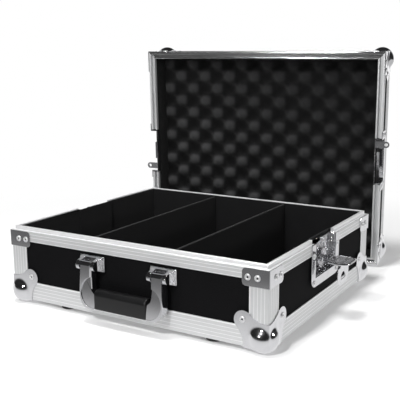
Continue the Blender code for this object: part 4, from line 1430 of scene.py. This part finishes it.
@dataclass
class EggCrateFoam:
    """Foam in the lid: a field of rounded bumps inside a padded border.

    Attributes:
        half: The lid.
        edge: Outer face of the border from the case's outer face.
        wall: Thickness of the border.
        lap: How far the field runs under the border.
        underside: Level of the foam's underside.
        top: Level of the border's top.
        pitch_across: Distance over which the bumps repeat, across.
        pitch_up: The same, up.
        phase_up: Level of a row of bumps.
        middle: Mean height above the underside.
        swing: Half of the bumps' height.
        flatness: How square the bumps are.
        pad: Thickness of the field.
        net: Size of the net.
    """

    half: Half
    edge: float = 0.0095
    wall: float = 0.005
    lap: float = 0.0004
    underside: float = 0.0076
    top: float = 0.0657
    pitch_across: float = 0.0525
    pitch_up: float = 0.0492
    phase_up: float = 0.0068
    middle: float = 0.019
    swing: float = 0.009
    flatness: float = 1.1
    pad: float = 0.006
    net: float = 0.0021

    def finish(self) -> OpenFoam:
        """Foam with painted light towards the tops of its bumps.

        Returns:
            The finish.
        """
        middle, spot = self.underside + self.middle, tuple(self.half.place.translation)
        heights = {"valley": middle + self.swing * 0.05, "crest": middle + self.swing * 0.85}
        return OpenFoam("foam_black", (0.044, 0.044, 0.045), 0.98, 0.0, self.half.turn, spot, **heights)

    def bumps(self) -> bpy.types.Object:
        """The bump field as a closed pad.

        Returns:
            The piece.
        """
        half, inset = self.half, self.edge + self.wall - self.lap
        width, depth = half.width - 2.0 * inset, half.depth - 2.0 * inset
        wanted = {
            "Width": width,
            "Depth": depth,
            "Pitch across": self.pitch_across,
            "Pitch up": self.pitch_up,
            "Phase up": self.phase_up,
            "Middle": self.middle,
            "Swing": self.swing,
            "Flatness": self.flatness,
            "Lines across": int(width / self.net),
            "Lines up": int(depth / self.net),
            "Finish": self.finish().material(),
        }
        group = Group("egg_crate_field", wanted)
        given = group.given
        sizes = {"Size X": given["Width"], "Size Y": given["Depth"]}
        sizes |= {"Vertices X": given["Lines across"], "Vertices Y": given["Lines up"]}
        grid = group.node("GeometryNodeMeshGrid", {}, sizes)
        across, up, rise = group.node("GeometryNodeInputPosition", {}, {}).split()
        turn = 2.0 * math.pi
        first = ((across + half.width / 2.0) * turn / given["Pitch across"]).apply("COSINE")
        level = up + half.depth / 2.0 - given["Phase up"]
        second = (level * turn / given["Pitch up"]).apply("COSINE")
        wave = (first * second * given["Flatness"]).apply("TANH") / given["Flatness"].apply("TANH")
        lift = group.node("ShaderNodeCombineXYZ", {}, {"Z": given["Middle"] + wave * given["Swing"]})
        lifted = group.node("GeometryNodeSetPosition", {}, {"Geometry": grid, "Offset": lift})
        thing = put("lid_foam_bumps", bpy.data.meshes.new("lid_foam_bumps"))
        group.grow(thing, group.realize(lifted, given["Finish"]))
        modify(thing, "SOLIDIFY", thickness=self.pad, offset=-1.0)
        middle = Matrix.Translation((half.width / 2.0, half.depth / 2.0, self.underside))
        thing.data.transform(half.place @ middle)
        thing.data.shade_smooth()
        return thing

    def border(self) -> bpy.types.Object:
        """Padded strip round the field, soft along its top.

        Returns:
            The piece.
        """
        low, high, thick = self.underside, self.top, self.wall
        section = [(0.0, low), (0.0, high - 0.0008), (0.0004, high - 0.0002), (0.0012, high)]
        section += [(thick - 0.0022, high), (thick - 0.0009, high - 0.0006)]
        section += [(thick - 0.0002, high - 0.0018), (thick, high - 0.0032), (thick, low)]
        near = self.edge
        far, back = self.half.width - near, self.half.depth - near
        stations = ((near, near, 1, 1), (far, near, -1, 1), (far, back, -1, -1), (near, back, 1, -1))
        rows = [[(x + dx * n, y + dy * n, z) for n, z in section] for x, y, dx, dy in stations]
        return Form().skin(rows, ring=True).piece("lid_foam_border", self.half.place, 60.0)

    def build(self) -> None:
        """Build and dress the foam."""
        bumps = dress(self.bumps(), self.finish(), self.half.name, Slot.FOAM, ["lid_foam"])
        border = dress(self.border(), FOAM_EDGE, self.half.name, Slot.FOAM, ["lid_foam"])


@dataclass
class Inside:
    """Felt-lined tray and its two dividers."""

    half: Half
    nodes: tuple[str, ...] = ("base_lining", "divider_left", "divider_right")

    def build(self) -> None:
        """Build and dress the soft inside."""
        for node in self.nodes:
            thing = refined(node, node + "_felt", Edge(0.0011, 4, 40.0, False), 50.0)
            dress(thing, FELT, self.half.name, Slot.LINING, [node])


@dataclass
class Feet:
    """Turned rubber feet with a sunk washer and screw.

    Attributes:
        half: The base.
        radius: Radius at the floor.
        top_radius: Radius at the case.
        height: How far the foot stands out.
        from_side: Its centre from the side.
        from_end: Its centre from the front or back.
    """

    half: Half
    radius: float = 0.014
    top_radius: float = 0.0125
    height: float = 0.0085
    from_side: float = 0.098
    from_end: float = 0.024

    def build(self) -> None:
        """Build and dress the four feet."""
        low, wide = -self.height, self.radius
        rubber = [(0.0002, -FIT), (self.top_radius, -FIT), (self.top_radius + 0.0005, -0.0012)]
        rubber += [(wide - 0.0001, low + 0.0016), (wide - 0.0005, low + 0.0005), (wide - 0.0014, low)]
        rubber += [(0.0078, low), (0.0070, low + 0.0006), (0.0066, low + 0.0048), (0.0002, low + 0.0048)]
        screw = [(0.0001, low + 0.0040), (0.0012, low + 0.0028), (0.0030, low + 0.0032)]
        screw += [(0.0036, low + 0.0042), (0.0058, low + 0.0042)]
        screw += [(0.0060, low + 0.0050), (0.0001, low + 0.0050)]
        centre = (self.from_side, self.from_end, 0.0)
        for words, place in self.half.corners():
            node = "foot_" + words
            thing = Form().turned(rubber, centre, 2, 32).piece(node + "_rubber", place, 40.0)
            dress(thing, RUBBER, self.half.name, Slot.RUBBER, [node])
            thing = Form().turned(screw, centre, 2, 20).piece(node + "_screw", place, 40.0)
            dress(thing, DARK_STEEL_AND_SHADE, self.half.name, Slot.CHROME)


@dataclass
class Handle:
    """Front handle: two mounts, two arms and a moulded grip.

    Attributes:
        half: The base.
        spacing: Distance between the arms' middles.
        pivot: Level of the pins.
        pivot_out: The pins from the front face.
        arm_width: Width of an arm at its top.
        arm_length: Pin to the arm's lower end.
        arm_chamfer: Width of the cut along an arm's long front edges.
        chamfer_from: Least distance of such an edge in front of the pins.
        flare: How far the arm widens towards the grip.
        grip_height: Height of the grip.
        grip_depth: Its depth.
        top_radius: Radius along its top edges.
        low_radius: Radius along its lower edges.
        end_radius: Radius round its ends.
    """

    half: Half
    spacing: float = 0.131
    pivot: float = 0.0825
    pivot_out: float = 0.014
    arm_width: float = 0.021
    arm_length: float = 0.066
    arm_chamfer: float = 0.0021
    chamfer_from: float = 0.0035
    flare: float = 0.0074
    grip_height: float = 0.031
    grip_depth: float = 0.020
    top_radius: float = 0.0092
    low_radius: float = 0.003
    end_radius: float = 0.0015

    def grip_outline(self, inset: float) -> list[Flat]:
        """Section of the grip as (out, up).

        Args:
            inset: How far it is drawn in all round.

        Returns:
            Points of the closed outline.
        """
        low = self.pivot - self.arm_length + 0.0005
        high = low + self.grip_height
        near, far = self.pivot_out - self.grip_depth / 2.0, self.pivot_out + self.grip_depth / 2.0
        corners = (
            (-far, low, 1, 1, self.low_radius, 180.0),
            (-near, low, -1, 1, self.low_radius, 270.0),
            (-near, high, -1, -1, self.top_radius, 0.0),
            (-far, high, 1, -1, self.top_radius, 90.0),
        )
        points: list[Flat] = []
        for out, up, way_out, way_up, radius, start in corners:
            centre = (out + way_out * radius, up + way_up * radius)
            points += arc(centre, radius - inset, start, 90.0, 8)
        return points

    def grip_rows(self) -> list[Row]:
        """Sections of the grip from arm to arm, its ends rounded.

        Returns:
            The rows of the skin.
        """
        wide, soft = self.half.width, self.end_radius
        near = (wide - self.spacing + self.arm_width) / 2.0 + self.flare + FIT
        bend = arc((near + soft, soft), soft, 180.0, 90.0, 4)
        places = bend + [(near + (wide - 2.0 * near) * share, 0.0) for share in (0.25, 0.5, 0.75)]
        places += [(wide - place, inset) for place, inset in reversed(bend)]
        return [[(place, *point) for point in self.grip_outline(inset)] for place, inset in places]

    def chamfer(self, shape: bmesh.types.BMesh) -> None:
        """Cut the long front edges of an arm back, more in depth than across.

        Args:
            shape: The arm.
        """
        shape.normal_update()
        corner = self.half.place.translation
        top = [vert.co.x for vert in shape.verts if vert.co.z > corner.z + self.pivot]
        sides = (min(top), max(top))
        front = corner.y - self.pivot_out - self.chamfer_from
        picked = []
        for edge in shape.edges:
            on_side = any(all(abs(vert.co.x - side) < 0.00005 for vert in edge.verts) for side in sides)
            forward = max(vert.co.y for vert in edge.verts) < front
            if on_side and forward and min(face.normal.y for face in edge.link_faces) < -0.75:
                picked.append(edge)
        settings = {"segments": 1, "affect": "EDGES", "clamp_overlap": False}
        cut = bmesh.ops.bevel(shape, geom=picked, offset=self.arm_chamfer, **settings)
        for vert in {vert for face in cut["faces"] for vert in face.verts}:
            if min(abs(vert.co.x - side) for side in sides) < 0.00005:
                vert.co.y += self.arm_chamfer * 0.4

    def build(self) -> None:
        """Build and dress the handle."""
        parts = {"mount": (self.half.name, CAST, None), "arm": ("handle", CHROME, self.chamfer)}
        for side in Side:
            for part, (body, finish, cut) in parts.items():
                node = "handle_%s_%s" % (part, side.value)
                thing = refined(node, node + "_steel", Edge(0.0006, 3, 30.0), 35.0, cut)
                dress(thing, finish, body, Slot.CHROME, [node])
        grip = Form().skin(self.grip_rows()).piece("handle_grip_moulding", self.half.place, 50.0)
        dress(grip, GRIP_PLASTIC, "handle", Slot.PLASTIC, ["handle_grip"])


@dataclass
class Latch:
    """Recessed twist latch in one side of the base.

    Attributes:
        half: The base.
        side: Its side.
        rotor_level: Level of the rotor's axle.
        rotor_face: Front face of the rotor's disc, out of the side face.
        pan_back: Back of the pan.
        pan_height: Height of the pan.
        barrel_out: Barrel of the wings, out of the side face.
        wing_end: Tip of the upper wing.
        wing_half: Half of its width.
        wing_corner: Radius of its corners.
    """

    half: Half
    side: Side
    rotor_level: float = 0.0825
    rotor_face: float = -0.0053
    pan_back: float = -0.0108
    pan_height: float = 0.0685
    barrel_out: float = 0.008
    wing_end: float = 0.046
    wing_half: float = 0.024
    wing_corner: float = 0.012

    def guides(self) -> Form:
        """Guide rods either side of the hook, and its spring.

        Returns:
            The form, in side coordinates.
        """
        middle, top, back = self.half.depth / 2.0, self.half.height, self.pan_back + 0.0006
        form = Form()
        for along in (-0.0195, 0.0195):
            form.tube([(back, middle + along, top - drop) for drop in (0.044, 0.003)], 0.0022, 10)
        steps, low, rise = 56, top - 0.045, 0.00085 * math.pi / 4.0
        coil = arc((back + 0.0034, middle - 0.030), 0.0026, 0.0, 45.0 * steps, steps)
        return form.tube([(*spot, low + rise * step) for step, spot in enumerate(coil)], 0.0006, 6)

    def rotor_rings(self) -> Form:
        """Turned rings on the rotor's disc.

        Returns:
            The form, in side coordinates.
        """
        form, centre = Form(), (self.rotor_face, self.half.depth / 2.0, self.rotor_level)
        for radius, roll in ((0.0147, 0.0009), (0.0108, 0.0006)):
            form.turned(arc((radius, 0.0), roll, 0.0, 315.0, 7), centre, 0, 40)
        return form

    def hook_ribs(self) -> Form:
        """Stiffening ribs up the hook plate.

        Returns:
            The form, in side coordinates.
        """
        form, out, top = Form(), self.pan_back + 0.0015, self.half.height
        for along in (-0.0085, 0.0, 0.0085):
            place = self.half.depth / 2.0 + along
            form.tube([(out, place, top - 0.0062), (out, place, top - 0.0008)], 0.0014)
        return form

    def wing_rim(self) -> Form:
        """Rolled rim round the upper wing, and two beads across it.

        Returns:
            The form, in side coordinates.
        """
        middle, level, soft = self.half.depth / 2.0, self.rotor_level, self.wing_corner
        near, far, half = self.barrel_out + 0.0065, self.wing_end - 0.0007, self.wing_half - 0.0007
        line = [(near, -half)] + arc((far - soft, -half + soft), soft, -90.0, 90.0, 8)
        line += arc((far - soft, half - soft), soft, 0.0, 90.0, 8) + [(near, half)]
        form = Form().tube([(out, middle + along, level) for out, along in line], 0.0014)
        for out in (0.0185, 0.0375):
            form.tube([(out, middle + along, level + 0.0008) for along in (-0.014, 0.014)], 0.0011)
        return form

    def build(self, rivets: Rivets) -> None:
        """Build and dress the latch, and mark its rivets.

        Args:
            rivets: What the rivets' places go to.
        """
        half, side = self.half, self.side.value
        stem = "latch_%s_" % side
        plated = {
            "dish": (PRESSED, Edge(0.0007, 3)),
            "hook": (PRESSED, Edge()),
            "rotor": (PRESSED, Edge(0.0005)),
            "upper_wing": (CAST, Edge()),
            "lower_wing": (CAST, Edge()),
        }
        for part, (finish, edge) in plated.items():
            thing = refined(stem + part, stem + part + "_plated", edge)
            body = half.name if part == "dish" else "%s_%s" % (side, part)
            dress(thing, finish, body, Slot.CHROME, [stem + part])
        added = {
            "guides": (half.name, self.guides()),
            "rotor_rings": (side + "_rotor", self.rotor_rings()),
            "hook_ribs": (side + "_hook", self.hook_ribs()),
            "wing_rim": (side + "_upper_wing", self.wing_rim()),
        }
        for part, (body, form) in added.items():
            thing = form.piece(stem + part, half.flank(self.side), 40.0)
            dress(thing, CHROME, body, Slot.CHROME)
        low = half.height - self.pan_height
        rivets.pair(half, self.side, 0.0485, low + 0.050)
        rivets.pair(half, self.side, 0.0465, low + 0.0072)


@dataclass
class Keeper:
    """Recessed keeper in one side of the lid.

    Attributes:
        half: The lid.
        side: Its side.
        pan_height: Height of the pan.
    """

    half: Half
    side: Side
    pan_height: float = 0.0425

    def build(self, rivets: Rivets) -> None:
        """Build and dress the keeper, and mark its rivets.

        Args:
            rivets: What the rivets' places go to.
        """
        node = "lid_keeper_dish_%s" % self.side.value
        thing = refined(node, node + "_plated", Edge(0.0006))
        dress(thing, CHROME, self.half.name, Slot.CHROME, [node])
        low = self.half.height - self.pan_height
        rivets.pair(self.half, self.side, 0.0485, low + 0.030)
        rivets.pair(self.half, self.side, 0.0465, low + 0.0068)


@dataclass
class Panels:
    """Laminate panels, which keep their CAD shapes."""

    base_sides: tuple[str, ...] = ("bottom", "front", "back", "left", "right")

    def build(self) -> None:
        """Give the panels their laminate."""
        for node in ["base_%s_panel" % side for side in self.base_sides] + ["lid_shell"]:
            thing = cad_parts[node]
            thing.data.materials.clear()
            thing.data.materials.append(LAMINATE.material())
            LOG.info("%s: laminate", node)


@dataclass
class Studio:
    """Pale floor, soft light and the camera.

    Attributes:
        half: The base, which the camera is placed by.
        spot: The camera from the base's front left corner.
        tilt: Its Euler angles, in degrees.
        lens: Its focal length in millimetres.
        shift: Its shifts.
        aim: Point that the lamps look at.
        fade: Distances from the middle over which the floor turns white.
        pale: Colour of the floor.
        even: Strength of the even light.
        room: Strength of the dark room that glossy faces see.
        opening: Strength of the room's bright opening.
        open_way: Its direction, from the right towards the back, in degrees.
        open_wide: Angles from that direction at which it is dark and full, in degrees.
        rings: Radii of the floor's rings.
        around: Points in each.
    """

    half: Half
    spot: Point = (0.8777, -0.8449, 0.4026)
    tilt: Point = (77.90, 0.0, 29.63)
    lens: float = 65.99
    shift: Flat = (-0.055, 0.0177)
    aim: Point = (0.0, 0.0, 0.12)
    fade: Flat = (0.36, 0.95)
    pale: Point = (0.93, 0.93, 0.93)
    even: float = 0.45
    room: float = 0.022
    opening: float = 1.05
    open_way: float = 119.6
    open_wide: Flat = (58.0, 36.0)
    rings: tuple[float, ...] = (0.02, 0.4, 0.8, 1.6, 3.2, 6.0)
    around: int = 96

    def camera(self) -> None:
        """Put the camera at the photograph's viewing angle."""
        data = bpy.data.cameras.new("camera")
        data.lens = self.lens
        data.sensor_width = 36.0
        data.shift_x, data.shift_y = self.shift
        thing = put("camera", data)
        thing.location = self.half.place.translation + Vector(self.spot)
        thing.rotation_euler = [math.radians(part) for part in self.tilt]
        bpy.context.scene.camera = thing

    def lamp(
        self, name: str, azimuth: float, elevation: float, far: float, size: float, power: float
    ) -> None:
        """Add a soft square lamp that looks at the case.

        Args:
            name: Its name.
            azimuth: Its direction from the front, towards the right, in degrees.
            elevation: Its height above the floor, in degrees.
            far: Its distance.
            size: Its side.
            power: Its power in watts.
        """
        data = bpy.data.lights.new(name, "AREA")
        data.shape = "SQUARE"
        data.size = size
        data.energy = power
        turn, rise = math.radians(azimuth), math.radians(elevation)
        way = Vector((math.sin(turn) * math.cos(rise), -math.cos(turn) * math.cos(rise), math.sin(rise)))
        thing = put(name, data)
        thing.location = Vector(self.aim) + way * far
        thing.rotation_euler = (-way).to_track_quat("-Z", "Y").to_euler()

    def floor_finish(self) -> bpy.types.Material:
        """Pale matt floor that turns into the white background far from the case, and that glows in
        reflections as painted light.

        Returns:
            The material.
        """
        made = bpy.data.materials.new("floor")
        made.use_nodes = True
        graph = Graph(made.node_tree)
        across, along, up = graph.node("ShaderNodeTexCoord", {}, {}, "Object").split()
        corner = self.half.place.translation
        far = (across * across + along * along).apply("SQRT").fade(*self.fade)
        ahead = (corner.y - along).fade(-0.02, 0.34)
        aside = (across - corner.x - self.half.width).fade(0.0, 0.55)
        glossy, camera = graph.rays()
        matt = graph.node("ShaderNodeBsdfDiffuse", {}, {"Color": self.pale})
        # In reflections the floor glows instead of being lit: painted light, near white beside the case,
        # fading dark ahead of it and partly to its right.
        strength = 1.0 - glossy * (0.08 + ahead * 0.76).apply("MAXIMUM", 0.08 + aside * 0.30)
        white = graph.node("ShaderNodeEmission", {}, {"Color": (1.0, 1.0, 1.0), "Strength": strength})
        share = (far * camera + glossy).apply("MINIMUM", 1.0)
        mixed = graph.node("ShaderNodeMixShader", {}, {0: share, 1: matt, 2: white})
        graph.node("ShaderNodeOutputMaterial", {}, {"Surface": mixed})
        return made

    def floor(self) -> None:
        """Pale floor that keeps the case's shadow and fades into the background."""
        shape = bmesh.new()
        circles = [arc((0.0, 0.0), radius, 0.0, 360.0, self.around)[:-1] for radius in self.rings]
        verts = [[shape.verts.new((*spot, 0.0)) for spot in circle] for circle in circles]
        shape.faces.new(verts[0])
        for first, second in zip(verts, verts[1:]):
            for here in range(self.around):
                after = (here + 1) % self.around
                shape.faces.new((first[here], second[here], second[after], first[after]))
        thing = Form(shape).settle("floor", Matrix.Identity(4))
        thing.data.materials.append(self.floor_finish())

    def world(self) -> None:
        """Even light, white behind the case, and a dark room round the camera in reflections."""
        world = bpy.data.worlds.new("studio")
        bpy.context.scene.world = world
        world.use_nodes = True
        graph = Graph(world.node_tree)
        way = graph.node("ShaderNodeTexCoord", {}, {}, "Generated")
        turn = math.radians(self.open_way)
        back = (math.cos(turn), math.sin(turn), 0.0)
        behind = way.dot(back).fade(*(math.cos(math.radians(part)) for part in self.open_wide))
        low = way.split()[2].fade(0.50, 0.30)
        room = self.room + self.opening * behind * low
        glossy, camera = graph.rays()
        camera = camera.apply("MINIMUM", 1.0)
        strength = camera + (1.0 - camera) * (glossy * room + (1.0 - glossy) * self.even)
        shade = graph.node("ShaderNodeBackground", {}, {"Color": (1.0, 1.0, 1.0), "Strength": strength})
        graph.node("ShaderNodeOutputWorld", {}, {"Surface": shade})

    def build(self) -> None:
        """Build the studio."""
        self.camera()
        self.floor()
        self.world()
        self.lamp("key", 3.0, 36.0, 1.7, 0.16, 14.5)
        self.lamp("low", -4.0, 15.0, 1.7, 0.09, 2.6)
        self.lamp("side", 100.0, 14.0, 1.7, 0.20, 5.2)
        self.lamp("top", -20.0, 78.0, 1.8, 0.45, 22.0)
        bpy.context.scene.view_settings.view_transform = "Standard"


def main() -> None:
    """Build the case's looks in order."""
    logging.basicConfig(level=logging.INFO, format="%(name)s %(message)s")
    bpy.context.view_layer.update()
    base, lid = Half.base(), Half.lid()
    Studio(base).build()
    Panels().build()
    base_rivets, lid_rivets = Rivets(base.name), Rivets(lid.name)
    for half, rivets in ((base, base_rivets), (lid, lid_rivets)):
        EdgeAngles(half).build()
        Rim(half).build()
        BallCorner(half).build(rivets)
        RimBracket(half).build(rivets)
    Inside(base).build()
    Feet(base).build()
    Handle(base).build()
    for side in Side:
        Latch(base, side).build(base_rivets)
        Keeper(lid, side).build(lid_rivets)
    EggCrateFoam(lid).build()
    base_rivets.build()
    lid_rivets.build()


if __name__ == "__main__":
    main()
